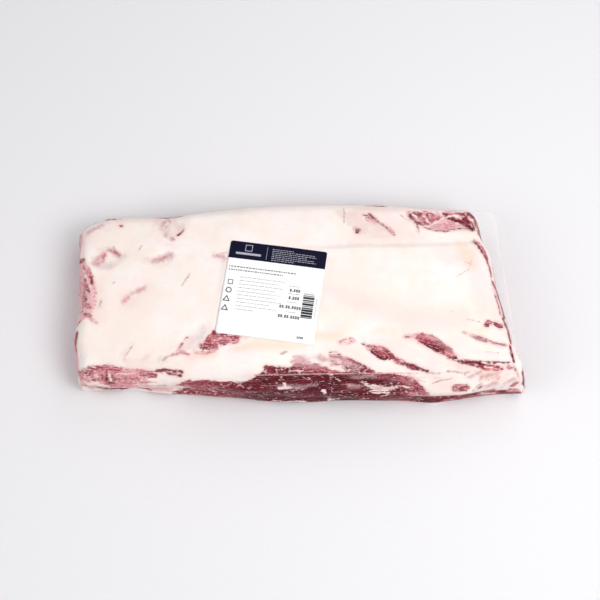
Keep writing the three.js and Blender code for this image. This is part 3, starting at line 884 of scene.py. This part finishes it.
class Finish:
    """A material under construction."""

    def __init__(self, name):
        self.material = bpy.data.materials.new(name)
        self.material.use_nodes = True
        self.tree = self.material.node_tree
        self.tree.nodes.clear()

    def node(self, kind, settings=None, sockets=None, output=0):
        """Adds a node, sets its settings, then its sockets, and returns one of its outputs."""
        node = self.tree.nodes.new("ShaderNode" + kind)
        for name, value in (settings or {}).items():
            setattr(node, name, value)
        slots = {slot.identifier: slot for slot in node.inputs}
        for name, value in (sockets or {}).items():
            if isinstance(value, Wire):
                self.tree.links.new(value.socket, slots[name])
            else:
                slots[name].default_value = value
        return Wire(self.tree, node.outputs[output]) if node.outputs else node

    def field(self, name):
        return self.node("Attribute", {"attribute_name": name}, output=2)

    def place(self, stretch=(1, 1, 1)):
        """Where on the object, in millimetres, squeezed along one way so that noise comes out stretched."""
        where = self.node("TexCoord", output=3)
        return self.scaled(where, tuple(1 / MM / s for s in stretch))

    def scaled(self, vector, factors):
        return self.node("VectorMath", {"operation": "MULTIPLY"}, {"Vector": vector, "Vector_001": factors})

    def noise(self, place, size, detail=2.0, roughness=0.5):
        """Noise about `size` mm across, round 0, mostly from -1 to 1."""
        sockets = {"Vector": place, "Scale": 1 / size, "Detail": detail, "Roughness": roughness}
        return (self.node("TexNoise", {}, sockets) - 0.5) * 5

    def step(self, value, low, high):
        """0 below low, 1 above high, smooth between."""
        sockets = {"Value": value, "From Min": low, "From Max": high}
        return self.node("MapRange", {"interpolation_type": "SMOOTHSTEP"}, sockets)

    def blend(self, amount, first, second):
        sockets = {"Factor_Float": amount, "A_Color": first, "B_Color": second}
        return self.node("Mix", {"data_type": "RGBA"}, sockets, output=2)

    def bump(self, height, distance, strength=1.0):
        return self.node("Bump", {}, {"Height": height, "Distance": distance, "Strength": strength})

    def sheer(self, cover, shader):
        """Clear, except that as much of the shader shows as cover says."""
        clear = self.node("BsdfTransparent", {}, {"Color": (1, 1, 1, 1)})
        return self.node("MixShader", {}, {"Fac": cover, "Shader": clear, "Shader_001": shader})

    def finish(self, shader):
        self.node("OutputMaterial", {}, {"Surface": shader})
        return self.material


print("fat is", [round(c, 2) for c in srgb(253, 244, 239)[:3]], "as light")

# %% [markdown]
# ## Fat and lean
#
# One material covers the whole roast, because fat and lean grow into each other. The stored fields say
# where each is, and noise, stretched along the fibres, frays the edge between them. Lean is streaked with
# darker and lighter fibres and flecked with fat. A clear coat stands for the wet film that clings to it.

# %% The meat's material
def meat_finish():
    m = Finish("meat")
    fibre = m.node("Attribute", {"attribute_name": "fibre"}, output=1)
    long_fibre = m.scaled(fibre, (1 / 9, 1, 1))
    short_fibre = m.scaled(fibre, (1 / 3, 1, 1))
    plain = m.place()

    # where lean stops: tongues along the fibres, and ragged bits
    fray = m.noise(long_fibre, 2.4, 3) * 1.2 + m.noise(short_fibre, 1.6, 3, 0.65) * 1.2
    depth = m.field("lean")
    edge = depth + (fray + m.noise(plain, 5, 2) * 0.6) * m.step(depth, -4, 0.2)
    lean_mask = m.step(edge, -0.25, 0.35)

    # lean: from veiled through pink and red to deep red, streaked and mottled
    streaks = m.noise(long_fibre, 1.7, 4, 0.62)
    mottle = m.noise(short_fibre, 1.7, 3, 0.6)
    patches = m.noise(short_fibre, 6, 3)
    shades = m.noise(m.place((2.2, 1, 1)), 13, 2)
    grains = m.noise(plain, 2.2, 3, 0.6)
    darkness = m.field("tone") + streaks * 0.2 + mottle * 0.34 + patches * 0.24
    darkness = darkness + shades * 0.26 + grains * 0.26
    lean_colour = m.blend(m.step(darkness, -0.8, -0.1), srgb(246, 193, 195), srgb(216, 138, 146))
    lean_colour = m.blend(m.step(darkness, -0.1, 0.45), lean_colour, srgb(146, 56, 68))
    lean_colour = m.blend(m.step(darkness, 0.4, 1.15), lean_colour, srgb(84, 16, 28))
    threads = m.step(abs(m.noise(long_fibre, 3.4, 3, 0.6)), 0.12, 0.02) * m.step(patches, -0.3, 0.8) * 0.45
    lean_colour = m.blend(threads, lean_colour, srgb(226, 172, 172))
    curled = m.noise(m.place((2.6, 1, 1)), 8, 3, 0.6)
    strands = m.step(abs(curled - 0.3), 0.14, 0.03) * m.step(m.noise(plain, 6, 1), -0.1, 0.5) * 0.7
    lean_colour = m.blend(strands, lean_colour, srgb(232, 186, 190))
    speckled = m.noise(m.place((2, 1, 1)), 1.9, 3, 0.6) + shades * 0.4 - (m.field("tone") - 0.5) * 0.4
    specks = m.step(speckled, 0.42, 0.95)
    lean_colour = m.blend(specks * 0.85, lean_colour, srgb(244, 208, 212))
    over = m.step(m.field("veil") + patches * 2 + grains * 2 + mottle, -1, 2) * 0.45
    lean_colour = m.blend(over, lean_colour, srgb(214, 178, 182))

    # fat: nearly white, with warm, pink and veiled places, and painted shade in its grooves and hollows
    drift = m.noise(plain, 45, 2)
    clouds = m.noise(plain, 11, 3)
    fine = m.noise(plain, 3.5, 3)
    fat_colour = m.blend(m.step(drift + clouds * 0.5, -1, 1), srgb(248, 233, 224), srgb(249, 240, 236))
    fat_colour = m.blend(m.step(m.field("warm") + clouds * 2, -7, 6) * 0.8, fat_colour, srgb(251, 219, 194))
    fat_colour = m.blend(m.step(m.field("blush") + clouds * 6, -9, 8) * 0.37, fat_colour, srgb(241, 207, 204))
    # painted shade: the fat is greyed where the cap's grooves, hollows and lip step lie deep
    groove_painted_shade = m.step(m.field("groove") + clouds * 0.5, 1.0, 6.0) * 0.35
    fat_colour = m.blend(groove_painted_shade, fat_colour, srgb(236, 212, 207))
    veil_mask = m.step(m.field("veil") + clouds * 2.2 + fine * 1.8, -3, 3.5) * 0.5
    fat_colour = m.blend(veil_mask, fat_colour, srgb(224, 198, 196))
    stain_mask = m.step(m.field("stain") + clouds * 1.4 + fine * 1.1 + mottle * 0.5, -3.4, 3.2) * 0.85
    stain_colour = m.blend(m.step(fine + clouds, -1.2, 1.2), srgb(196, 158, 155), srgb(204, 146, 148))
    fat_colour = m.blend(stain_mask, fat_colour, stain_colour)
    membrane = m.step(abs(m.noise(plain, 17, 4, 0.62)), 0.07, 0.01) * m.step(clouds + drift, 0, 0.9) * 0.22
    fat_colour = m.blend(membrane, fat_colour, srgb(222, 192, 190))
    fat_colour = m.blend(m.step(edge, -3.4, 0) * 0.4, fat_colour, srgb(236, 190, 188))
    # hairlines between muscles, and a faint line of painted shade in the lip step's crease
    hairline_and_crease_shade_mask = m.step(m.field("hairline_and_crease_shade") + fine * 0.7, -1.0, 0.7) * 0.62
    fat_colour = m.blend(hairline_and_crease_shade_mask, fat_colour, srgb(166, 124, 126))

    colour = m.blend(lean_mask, fat_colour, lean_colour)
    relief = streaks * lean_mask * 0.4 + fine * 0.22 + specks * lean_mask * 0.5
    sockets = {
        "Base Color": colour,
        "Roughness": 0.5 - lean_mask * 0.1,
        "Normal": m.bump(relief, 0.5 * MM, 0.8),
        "Specular IOR Level": 0.1,
        "Coat Weight": 0.05,
        "Coat Roughness": 0.12,
    }
    return m.finish(m.node("BsdfPrincipled", {}, sockets))


def dress(piece, material):
    piece.data.materials.append(material)


dress(roast, meat_finish())
print("meat material:", len(roast.data.materials[0].node_tree.nodes), "nodes")

# %% [markdown]
# ## The film
#
# The bag is a clear film drawn onto the meat by the vacuum, so its skin repeats the roast's surface a
# hair's breadth further out. It is a separate mesh, because it has its own gloss and its own creases:
# fine wrinkles run in from the corners, where the flat film had too much width to lie smooth.

# %% The skin of the bag
WRINKLE_CORNERS = [(-228, -88), (-226, 74), (188, 92), (226, -92)]
WRINKLE_REACH = 34  # how far the creases run from a corner, in mm
CREASE_HEIGHT = 0.5


def wrinkles(places):
    """Fine creases that run out of each corner and die away, from 0 to 1."""
    px, py = places[:, 0], places[:, 1]
    total = np.zeros(len(places))
    for number, (cx, cy) in enumerate(WRINKLE_CORNERS):
        away = np.hypot(px - cx, py - cy)
        angle = np.arctan2(py - cy, px - cx)
        rays = np.sin(angle * 17 + 2.1 * np.sin(away / 13 + number)) * np.sin(angle * 9 + number)
        total += np.clip(rays, 0, 1) ** 3 * bell(away, WRINKLE_REACH)
    return total


creases = wrinkles(surface)
skin_points = surface + outward * (FILM_GAP + CREASE_HEIGHT * creases)[:, None]
skin_points[:, 2] = np.maximum(skin_points[:, 2], 0)
print("creases over", f"{(creases > 0.2).mean():.1%}", "of the skin")

# %% [markdown]
# ## The welded fin
#
# A bag is closed by welding its two films together past the meat. The weld stands out as a thin fin along
# the right end and the far end of the rear side. It is a sheet between two lines: one inside the meat,
# the other the straight cut of the bag. The flat film has more length than the meat's edge, so it
# ripples.

# %% Lines of the fin
FIN = {"start": (52, 101), "ear": (208.5, 101.5), "tip": (231, -93), "ear_round": 6}
FIN_HEIGHT = {"start": 40, "tip": 21}
FIN_DROOP = 2
FIN_ROOT = 9
FIN_STEPS = (220, 12)
FIN_THICKNESS = 0.3
FIN_CROWDING = 1.25  # above 1 the rows lie closer at the cut edge, which keeps its bright line narrow


def arc_points(a, control, b, count):
    t = np.linspace(0, 1, count)[:, None]
    return (1 - t) ** 2 * np.array(a) + 2 * t * (1 - t) * np.array(control) + t**2 * np.array(b)


def evenly(points, count):
    """The same line with evenly spaced points."""
    travelled = np.append(0, np.cumsum(np.linalg.norm(np.diff(points, axis=0), axis=1)))
    stops = np.linspace(0, travelled[-1], count)
    return np.stack([np.interp(stops, travelled, column) for column in points.T], -1)


ear_x, ear_y = FIN["ear"]
before_ear = (ear_x - FIN["ear_round"], ear_y - 0.3)
after_ear = (ear_x + 0.7, ear_y - FIN["ear_round"])
rear_run = np.linspace(FIN["start"], before_ear, 40)
ear_arc = arc_points(before_ear, FIN["ear"], after_ear, 12)
end_run = arc_points(after_ear, (219, 2), FIN["tip"], 60)
weld_line = evenly(np.concatenate([rear_run, ear_arc[1:], end_run[1:]]), FIN_STEPS[0] + 1)
print("weld:", round(float(np.linalg.norm(np.diff(weld_line, axis=0), axis=1).sum())), "mm long")

# %% [markdown]
# The sheet is closed: an upper and a lower face joined round the edge, so that it is a real body of film.

# %% Build the bag from skin and fin
def closed_sheet(lower, upper):
    """Points and faces of a body between two equal grids of points, each rows x columns x 3."""
    rows, columns = lower.shape[:2]
    number = np.arange(rows * columns).reshape(rows, columns)
    below = cells_of(number)
    above = below[:, ::-1] + rows * columns
    rim = np.concatenate([number[0, :-1], number[:-1, -1], number[-1, :0:-1], number[:0:-1, 0]])
    after = np.roll(rim, -1)
    sides = np.stack([rim, after, after + rows * columns, rim + rows * columns], -1)
    points = np.concatenate([lower.reshape(-1, 3), upper.reshape(-1, 3)])
    return points, np.concatenate([below, above, sides[:, ::-1]])


def joined(bodies):
    """Points and faces of several bodies as one."""
    faces = []
    points_before = 0
    for points, cells in bodies:
        faces.append(cells + points_before)
        points_before += len(points)
    return np.concatenate([points for points, cells in bodies]), np.concatenate(faces)


along_weld = np.linspace(0, 1, FIN_STEPS[0] + 1)[:, None]
out_share = 1 - np.linspace(1, 0, FIN_STEPS[1] + 1)[None, :] ** FIN_CROWDING
root_x = np.minimum(weld_line[:, 0], right_end(weld_line[:, 1]) - FIN_ROOT)
root_low, root_high = front_side(weld_line[:, 0]) + FIN_ROOT, rear_side(weld_line[:, 0]) - FIN_ROOT
root_line = np.stack([root_x, np.clip(weld_line[:, 1], root_low, root_high)], -1)
fin_plan = root_line[:, None] * (1 - out_share[..., None]) + weld_line[:, None] * out_share[..., None]
fin_height = FIN_HEIGHT["tip"] + (FIN_HEIGHT["start"] - FIN_HEIGHT["tip"]) * (1 - along_weld) ** 2
ripple = 1.6 * np.sin(along_weld * 21) + 0.8 * np.sin(along_weld * 83 + 1) + 0.35 * np.sin(along_weld * 197)
fin_z = fin_height - FIN_DROOP * out_share + ripple * out_share
fin_low = np.dstack([fin_plan, fin_z])
fin_high = fin_low + [0, 0, FIN_THICKNESS]
fin_points, fin_faces = closed_sheet(fin_low, fin_high)

bag_film = mesh_piece("bag_film", *joined([(skin_points, block_faces), (fin_points, fin_faces)]))
fin_out = np.tile(np.broadcast_to(out_share, fin_z.shape).ravel(), 2)
store_field(bag_film, "crease", np.concatenate([creases, np.zeros(len(fin_points))]))
store_field(bag_film, "lean", np.concatenate([lean_depth, np.full(len(fin_points), FAR_OUTSIDE)]))
store_field(bag_film, "fin", np.concatenate([np.full(len(skin_points), -1.0), fin_out]))
print("bag film:", len(bag_film.data.polygons), "faces")

# %% [markdown]
# ## Clear film as a material
#
# Film is mostly seen by what it does to light: it lets nearly all of it through, it adds a faint milky
# haze, and it turns white and shiny where it is creased or seen along its face. A Mix Shader between
# Transparent and a glossy surface does this, and one number says how much of the glossy surface shows.
# The white on the creases, the glints over the lean and the sheen where the film is seen along its face
# are painted in by that number: painted highlights and a painted sheen, whatever the light.

# %% The film's material
def film_finish():
    m = Finish("film")
    crinkle = m.noise(m.place((1, 3, 1)), 3, 3)
    edge_on = m.node("LayerWeight", {}, {"Blend": 0.35}, output=1)
    crease = m.field("crease") + crinkle * 0.05
    out = m.field("fin")
    fin_haze = m.step(out, -0.5, 0.1) * 0.03 + m.step(out, 0.8, 0.86) * 0.06
    over_lean = m.step(m.field("lean"), 0, 2)
    # painted glints: small white spots over the lean
    glints = m.step(m.noise(m.place((2.5, 1, 1)), 1.6, 3), 1.0, 1.35) * over_lean * 0.35
    # a faint milky haze, plus a painted sheen where the film is seen along its face
    milk_and_edge_sheen = (edge_on * 0.02 + 0.01) * (1.0 - over_lean * 0.9)
    # creases are painted white highlights
    cover = milk_and_edge_sheen + m.step(crease, 0.25, 0.8) * 0.3 + fin_haze + glints
    sockets = {
        "Base Color": srgb(250, 248, 250),
        "Roughness": 0.12,
        "Normal": m.bump(crinkle, 0.3 * MM, 0.5),
    }
    return m.finish(m.sheer(cover, m.node("BsdfPrincipled", {}, sockets)))


dress(bag_film, film_finish())
print("film material:", len(bag_film.data.materials[0].node_tree.nodes), "nodes")

# %% [markdown]
# ## The bag's side weld
#
# The bag's own side seam was pulled up over the lean side by the vacuum. It shows as a straight raised
# line, twice as thick as the film. It is a narrow half-round strip that lies on the skin.

# %% Build the side seam
SEAM_Y = -89
SEAM_REACH = (-46, 118)
SEAM_WIDTH = 1.1
SEAM_HEIGHT = 0.55
SEAM_STEPS = 150
SEAM_ACROSS = 9  # points across the strip


def on_skin(px, py):
    """The height of the film above the table at places seen from above, from the nearest skin point."""
    heights = []
    faces_up = outward[:, 2] > 0.25
    upper = surface[faces_up]
    upper_height = skin_points[faces_up, 2]
    for a, b in zip(px, py):
        gap = (upper[:, 0] - a) ** 2 + (upper[:, 1] - b) ** 2
        nearest = np.argsort(gap)[:4]
        weight = 1 / (gap[nearest] + 0.01)
        heights.append((upper_height[nearest] * weight).sum() / weight.sum())
    return np.array(heights)


seam_start, seam_end = SEAM_REACH
seam_x = np.linspace(seam_start, seam_end, SEAM_STEPS)
seam_y = SEAM_Y + 0.8 * np.sin(seam_x / 37) + 2.2 * smooth_step(70, 132, seam_x)
seam_side = np.linspace(-1, 1, SEAM_ACROSS)
ends = smooth_step(seam_start, seam_start + 12, seam_x) * smooth_step(seam_end, seam_end - 30, seam_x)
seam_plan = seam_y[:, None] + seam_side * SEAM_WIDTH / 2
seam_base = on_skin(np.repeat(seam_x, SEAM_ACROSS), seam_plan.ravel()).reshape(-1, SEAM_ACROSS)
seam_round = 0.25 + 0.75 * np.abs(np.sin(math.pi * (seam_side + 1)))
seam_top = seam_base + SEAM_HEIGHT * ends[:, None] * seam_round
seam_long = np.repeat(seam_x[:, None], SEAM_ACROSS, 1)
seam_low = np.dstack([seam_long, seam_plan, seam_base - 0.6])
seam_points, seam_faces = closed_sheet(seam_low, np.dstack([seam_long, seam_plan, seam_top]))
bag_seam = mesh_piece("bag_seam", seam_points, seam_faces)
print("seam:", len(bag_seam.data.polygons), "faces")

# %% [markdown]
# Where the film is doubled it is milky, so the seam's material lets less through.

# %% The seam's material
def seam_finish():
    m = Finish("doubled_film")
    patchy = m.noise(m.place((5, 1, 1)), 1.6, 2)
    sockets = {"Base Color": srgb(240, 196, 194), "Roughness": 0.3, "Normal": m.bump(patchy, 0.2 * MM, 0.5)}
    cover = m.step(patchy, -1.4, 1.6) * 0.5 + 0.1
    return m.finish(m.sheer(cover, m.node("BsdfPrincipled", {}, sockets)))


dress(bag_seam, seam_finish())
print("seam material:", len(bag_seam.data.materials[0].node_tree.nodes), "nodes")

# %% [markdown]
# ## The label
#
# A sheet of coated paper lies on the film and bends with the crown of the roast. Its corners are rounded.
# Rings of points from the outline to the middle give it an even grid that can bend, and a rim gives it
# the thickness of paper.

# %% Build the label
LABEL_GAP = 0.55  # from the crown up to the paper
PAPER_THICKNESS = 0.3
CORNER_RADIUS = 2.5
LABEL_RINGS = 26
OUTLINE_STEPS = 25  # points along one side
turn_cos, turn_sin = math.cos(LABEL_TURN), math.sin(LABEL_TURN)
LABEL_TILT = np.array([[turn_cos, turn_sin], [-turn_sin, turn_cos]])


def on_label(u, v, lift):
    """A place on the label, in mm from its lower left corner, at a height above the crown."""
    plan = (np.stack([u, v], -1) - LABEL_SIZE / 2) @ LABEL_TILT + LABEL_AT
    px, py = plan[..., 0], plan[..., 1]
    curl = 0.12 * np.sin(u / 9 + 1) * np.sin(v / 13)
    return np.stack([px, py, crown(px, py) + lift + curl], -1)


def rounded_outline(size, radius, steps):
    """A rectangle with round corners, round its middle, as a closed line."""
    corners = []
    for number, (sx, sy) in enumerate(((1, -1), (1, 1), (-1, 1), (-1, -1))):
        angle = np.linspace(-math.pi / 2, 0, 7) + number * math.pi / 2
        middle = np.array([sx, sy]) * (size / 2 - radius)
        corners.append(middle + radius * np.stack([np.cos(angle), np.sin(angle)], -1))
    line = []
    for corner, following in zip(corners, corners[1:] + corners[:1]):
        line += [corner, np.linspace(corner[-1], following[0], steps)[1:-1]]
    return np.concatenate(line)


outline = rounded_outline(LABEL_SIZE, CORNER_RADIUS, OUTLINE_STEPS)
ring_scale = np.linspace(1, 0.02, LABEL_RINGS)[:, None, None]
ring_places = outline * ring_scale + LABEL_SIZE / 2
ring_size = len(outline)
label_top = on_label(ring_places[..., 0], ring_places[..., 1], LABEL_GAP + PAPER_THICKNESS).reshape(-1, 3)
label_base = label_top - [0, 0, PAPER_THICKNESS]
around = np.arange(ring_size)
step_on = (around + 1) % ring_size
rings = []
for ring in range(LABEL_RINGS - 1):
    outer, inner = ring * ring_size, (ring + 1) * ring_size
    rings.append(np.stack([outer + around, outer + step_on, inner + step_on, inner + around], -1))
upper_faces = np.concatenate(rings)
under = len(label_top)  # the points of the lower face follow those of the upper one
side_faces = np.stack([step_on, around, under + around, under + step_on], -1)
middle_ring = (LABEL_RINGS - 1) * ring_size + around
label_faces = upper_faces.tolist() + (upper_faces[:, ::-1] + under).tolist() + side_faces.tolist()
label_faces += [middle_ring.tolist(), (middle_ring[::-1] + under).tolist()]
paper_label = mesh_piece("paper_label", np.concatenate([label_top, label_base]), label_faces)
print("label:", len(paper_label.data.polygons), "faces")

# %% [markdown]
# ## The print
#
# Ink is a very thin layer on the paper. Every mark is a small rectangle on the label, cut into short
# lengths so that it bends with the paper. The words are only suggested by rows of dashes, the figures are
# all noughts, and the bar code is drawn by chance.

# %% Rectangles of ink
INK_LIFT = LABEL_GAP + PAPER_THICKNESS + 0.02
INK_THICKNESS = 0.03
LONGEST_CELL = 6.0
draw = np.random.default_rng(7)


def ink_piece(name, rectangles):
    """One mesh from rectangles (left, bottom, width, height) in label millimetres."""
    bodies = []
    for left, bottom, width, height in rectangles:
        across = max(2, math.ceil(width / LONGEST_CELL) + 1)
        up = max(2, math.ceil(height / LONGEST_CELL) + 1)
        u, v = np.meshgrid(np.linspace(left, left + width, across), np.linspace(bottom, bottom + height, up),
                           indexing="ij")
        bodies.append(closed_sheet(on_label(u, v, INK_LIFT), on_label(u, v, INK_LIFT + INK_THICKNESS)))
    return mesh_piece(name, *joined(bodies), smooth=False)


def dashes(left, baseline, width, letter_height, word=(2.0, 7.0)):
    """A row of words as dashes."""
    marks, at = [], left
    while at < left + width:
        length = min(draw.uniform(*word), left + width - at)
        marks.append((at, baseline, length, letter_height))
        at += length + max(letter_height * 0.7, 0.7)
    return marks


def noughts(left, baseline, height, pattern):
    """Noughts and full stops as small outlines: '0' is a nought, '.' a stop."""
    marks, at, pen = [], left, height * 0.24
    wide = height * 0.56
    for sign in pattern:
        if sign == "0":
            marks += [(at, baseline, pen, height), (at + wide - pen, baseline, pen, height)]
            for bottom in (baseline, baseline + height - pen):
                marks.append((at + pen, bottom, wide - 2 * pen, pen))
            at += wide + pen * 0.9
        else:
            marks.append((at, baseline, pen, pen))
            at += pen * 2
    return marks


print("a row of words:", len(dashes(0, 0, 50, 1.5)), "dashes")

# %% [markdown]
# The layout follows what such labels carry: a dark band with a name field and an address, the product's
# name, the small print with a column of marks beside it, the weights and dates, and a bar code on its
# side.

# %% Lay out the label
BAND_HEIGHT = 19.5
band_bottom = LABEL_SIZE[1] - BAND_HEIGHT


def band_of_ink():
    """The dark band, with the paper's round corners at its top."""
    v = np.append(np.linspace(band_bottom, LABEL_SIZE[1] - CORNER_RADIUS, 5),
                  LABEL_SIZE[1] - CORNER_RADIUS * (1 - np.sin(np.linspace(0.2, 1, 6) * math.pi / 2)))
    past = np.maximum(v - (LABEL_SIZE[1] - CORNER_RADIUS), 0)
    inset = CORNER_RADIUS - np.sqrt(CORNER_RADIUS**2 - past**2)
    share = np.linspace(0, 1, 19)[:, None]
    u = inset + share * (LABEL_SIZE[0] - 2 * inset)
    v = np.broadcast_to(v, u.shape)
    lift = INK_LIFT - 0.01
    return closed_sheet(on_label(u, v, lift), on_label(u, v, lift + INK_THICKNESS))


ink_band = mesh_piece("ink_band", *band_of_ink(), smooth=False)

pale_marks = [(38.6, 84.8, 0.35, 14.2), (7, 87.4, 26, 2.4)]
pale_marks += [(16, 91.6, 7.4, 0.7), (16, 98.3, 7.4, 0.7), (16, 92.3, 0.7, 6), (22.7, 92.3, 0.7, 6)]
for row, width in enumerate((22, 44, 46, 36, 44, 46, 24)):
    pale_marks += dashes(44, 97.0 - 2.05 * row, width, 0.6, (1.0, 4.0))
ink_pale = ink_piece("ink_pale", pale_marks)

dark_marks = noughts(68, 53.4, 3.1, "0.000") + noughts(68, 45.2, 3.1, "0.000")
dark_marks += noughts(60, 35.0, 3.1, "00.00.0000") + noughts(60, 24.8, 3.1, "00.00.0000")
dark_marks += noughts(82, 4.8, 2.2, "0000")
bar_at = 27.0
while bar_at < 51:
    bar = draw.choice((0.9, 1.5, 2.4))
    dark_marks.append((82.5, bar_at, 11.5, bar))
    bar_at += bar + draw.choice((0.4, 0.6, 0.8))
ink_dark = ink_piece("ink_dark", dark_marks)

small_marks = [(82.5, 52.4, 11, 1.1)]
for row, width in enumerate((47, 42, 45, 38, 44, 40, 46, 34, 42, 20)):
    small_marks += dashes(15.5, 62.2 - 3.9 * row, width, 0.7, (1.2, 5.5))
for baseline, width in ((59, 10), (50.8, 12), (41.6, 9), (31, 11)):
    small_marks += dashes(67, baseline, width, 0.8, (1.5, 4.0))
small_marks += [(96.2, 30 + 2.2 * k, 0.9, 1.4) for k in range(9)]
ink_small = ink_piece("ink_small", small_marks)
name_marks = dashes(2.5, 72.6, 69, 1.25, (0.8, 3.0)) + dashes(2.5, 69.0, 56, 1.25, (0.8, 3.0))
ink_name = ink_piece("ink_name", name_marks)
print("ink marks:", len(pale_marks), "pale,", len(dark_marks), "dark,", len(small_marks), "small")

# %% [markdown]
# The column of marks is made of plain outlines: a square, a ring and two triangles.

# %% Marks in outline
def outline_mark(middle, radius, corners, turn, pen):
    """A ring of ink with a few corners, between an inner and an outer line."""
    angle = turn + np.linspace(0, 2 * math.pi, corners + 1)
    reach = np.array([[radius - pen], [radius]])
    u = middle[0] + reach * np.cos(angle)
    v = middle[1] + reach * np.sin(angle)
    return closed_sheet(on_label(u, v, INK_LIFT), on_label(u, v, INK_LIFT + INK_THICKNESS))


MARKS = [((6.6, 56), 3.7, 4, math.pi / 4), ((6.2, 47), 3.1, 24, 0), ((5.4, 37), 4.4, 3, math.pi / 2),
         ((5.2, 27), 4.4, 3, math.pi / 2)]
PEN, TRIANGLE_PEN = 1.0, 1.9  # measured to the corners, so a triangle needs more for the same line
mark_bodies = []
for middle, radius, corners, turn in MARKS:
    pen = PEN if corners > 3 else TRIANGLE_PEN
    mark_bodies.append(outline_mark(middle, radius, corners, turn, pen))
ink_marks = mesh_piece("ink_marks", *joined(mark_bodies), smooth=False)
print("outline marks:", len(MARKS))

# %% [markdown]
# ## Paper and ink
#
# Coated label paper is white with a slight sheen, and a close look shows a soft mottle from the pulp
# under the coating. Ink is printed thinly enough for that mottle to show through it.

# %% Materials of the label
def printed_finish(name, colour, roughness, shine=0.5):
    m = Finish(name)
    mottle = m.noise(m.place(), 0.9, 3)
    cockle = m.noise(m.place(), 16, 2)
    darker = tuple(c * 0.96 for c in colour[:3]) + (1.0,)
    sockets = {
        "Base Color": m.blend(m.step(mottle + cockle * 0.6, -1.2, 1.2), darker, colour),
        "Roughness": roughness + mottle * 0.04,
        "Specular IOR Level": shine,
        "Normal": m.bump(mottle * 0.3 + cockle, 0.12 * MM, 0.5),
    }
    return m.finish(m.node("BsdfPrincipled", {}, sockets))


dress(paper_label, printed_finish("label_paper", srgb(255, 255, 255), 0.42))
dress(ink_band, printed_finish("band_ink", srgb(10, 11, 40), 0.5, 0.14))
dress(ink_pale, printed_finish("pale_ink", srgb(178, 178, 194), 0.5, 0.14))
dress(ink_dark, printed_finish("dark_ink", srgb(48, 48, 54), 0.5, 0.2))
dress(ink_name, printed_finish("name_ink", srgb(104, 104, 108), 0.5, 0.2))
dress(ink_small, printed_finish("small_ink", srgb(172, 172, 178), 0.5))
dress(ink_marks, printed_finish("mark_ink", srgb(40, 40, 46), 0.5, 0.2))
print("label materials:", 7)

# %% [markdown]
# ## Tie the pieces to the solids
#
# The roast, the film and the seam stand for the solid bag, and the paper and its inks for the solid
# label.

# %% Replace the solids
for piece in (roast, bag_film, bag_seam):
    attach(piece, "root")
    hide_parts("bag")
for piece in (paper_label, ink_band, ink_pale, ink_dark, ink_small, ink_name, ink_marks):
    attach(piece, "root")
    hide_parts("label")
print("last piece tied:", piece.name)

# %% [markdown]
# ## The table
#
# The pack lies on a plain pale surface. It belongs to the picture and not to the pack, so it is not tied
# to the solids. It lies a little below the pack, so that the two never share a plane.

# %% The surface it lies on
TABLE_SIZE = 5.0
TABLE_DROP = 0.0003  # below the pack, in metres
edge = TABLE_SIZE / 2
table_mesh = bpy.data.meshes.new("table")
table_corners = [(-edge, -edge, 0), (edge, -edge, 0), (edge, edge, 0), (-edge, edge, 0)]
table_mesh.from_pydata(table_corners, [], [(0, 1, 2, 3)])
table = bpy.data.objects.new("table", table_mesh)
table.location.z = -TABLE_DROP
bpy.context.collection.objects.link(table)


def table_finish():
    m = Finish("table_top")
    grain = m.noise(m.place(), 4, 2)
    sockets = {
        "Base Color": m.blend(m.step(grain, -2, 2), srgb(233, 232, 234), srgb(235, 234, 236)),
        "Roughness": 0.85,
    }
    return m.finish(m.node("BsdfPrincipled", {}, sockets))


dress(table, table_finish())
print("table:", TABLE_SIZE, "m wide")

# %% [markdown]
# ## Soft light
#
# Four broad lamps and a pale sky light the pack as a photo studio does. The key lamp at the front right
# is the strongest, so the shadows are faint and fall to the rear left. A lamp at the left keeps that end
# from going dark.

# %% Soft lights
LAMPS = {  # place and width in metres, and watts
    "key": ((1.0, -0.75, 1.5), 1.1, 14.6),
    "top": ((0.45, -0.05, 1.1), 0.9, 3.8),
    "fill": ((-1.5, -0.6, 1.1), 1.3, 8),
    "rear": ((0.7, 1.5, 1.4), 1.2, 5.5),
}
SKY_COLOUR = (0.99, 0.985, 1.0, 1.0)
SKY_STRENGTH = 0.43


def soft_light(name, place, size, watts):
    data = bpy.data.lights.new(name, "AREA")
    data.shape = "DISK"
    data.size = size
    data.energy = watts
    lamp = bpy.data.objects.new(name, data)
    lamp.location = place
    aim = -lamp.location.normalized()
    lamp.rotation_euler = aim.to_track_quat("-Z", "Y").to_euler()
    bpy.context.collection.objects.link(lamp)


for lamp_name, (lamp_place, lamp_size, watts) in LAMPS.items():
    soft_light(lamp_name, lamp_place, lamp_size, watts)
world = bpy.data.worlds.new("studio")
world.use_nodes = True
sky = world.node_tree.nodes["Background"]
sky.inputs["Color"].default_value = SKY_COLOUR
sky.inputs["Strength"].default_value = SKY_STRENGTH
bpy.context.scene.world = world
bpy.context.scene.view_settings.view_transform = "Standard"
print("lamps:", ", ".join(LAMPS))

# %% [markdown]
# ## The camera
#
# It looks steeply down over the lean side, from so far away that the two ends look equally large. The angle
# was judged from the label, whose sides come out nearly equal when seen from 70 degrees.

# %% The camera
CAMERA_HEIGHT_ANGLE = math.radians(70)
CAMERA_DISTANCE = 1.4716
CAMERA_AIM = placed([0, 0, 30])

camera_data = bpy.data.cameras.new("camera")
camera_data.lens = 85
camera_data.sensor_width = 36
camera = bpy.data.objects.new("camera", camera_data)
back = np.array([0, -math.cos(CAMERA_HEIGHT_ANGLE), math.sin(CAMERA_HEIGHT_ANGLE)])
camera.location = CAMERA_AIM + back * CAMERA_DISTANCE
camera.rotation_euler = (math.pi / 2 - CAMERA_HEIGHT_ANGLE, 0, 0)
bpy.context.collection.objects.link(camera)
bpy.context.scene.camera = camera
print("camera at", [round(c, 3) for c in camera.location])
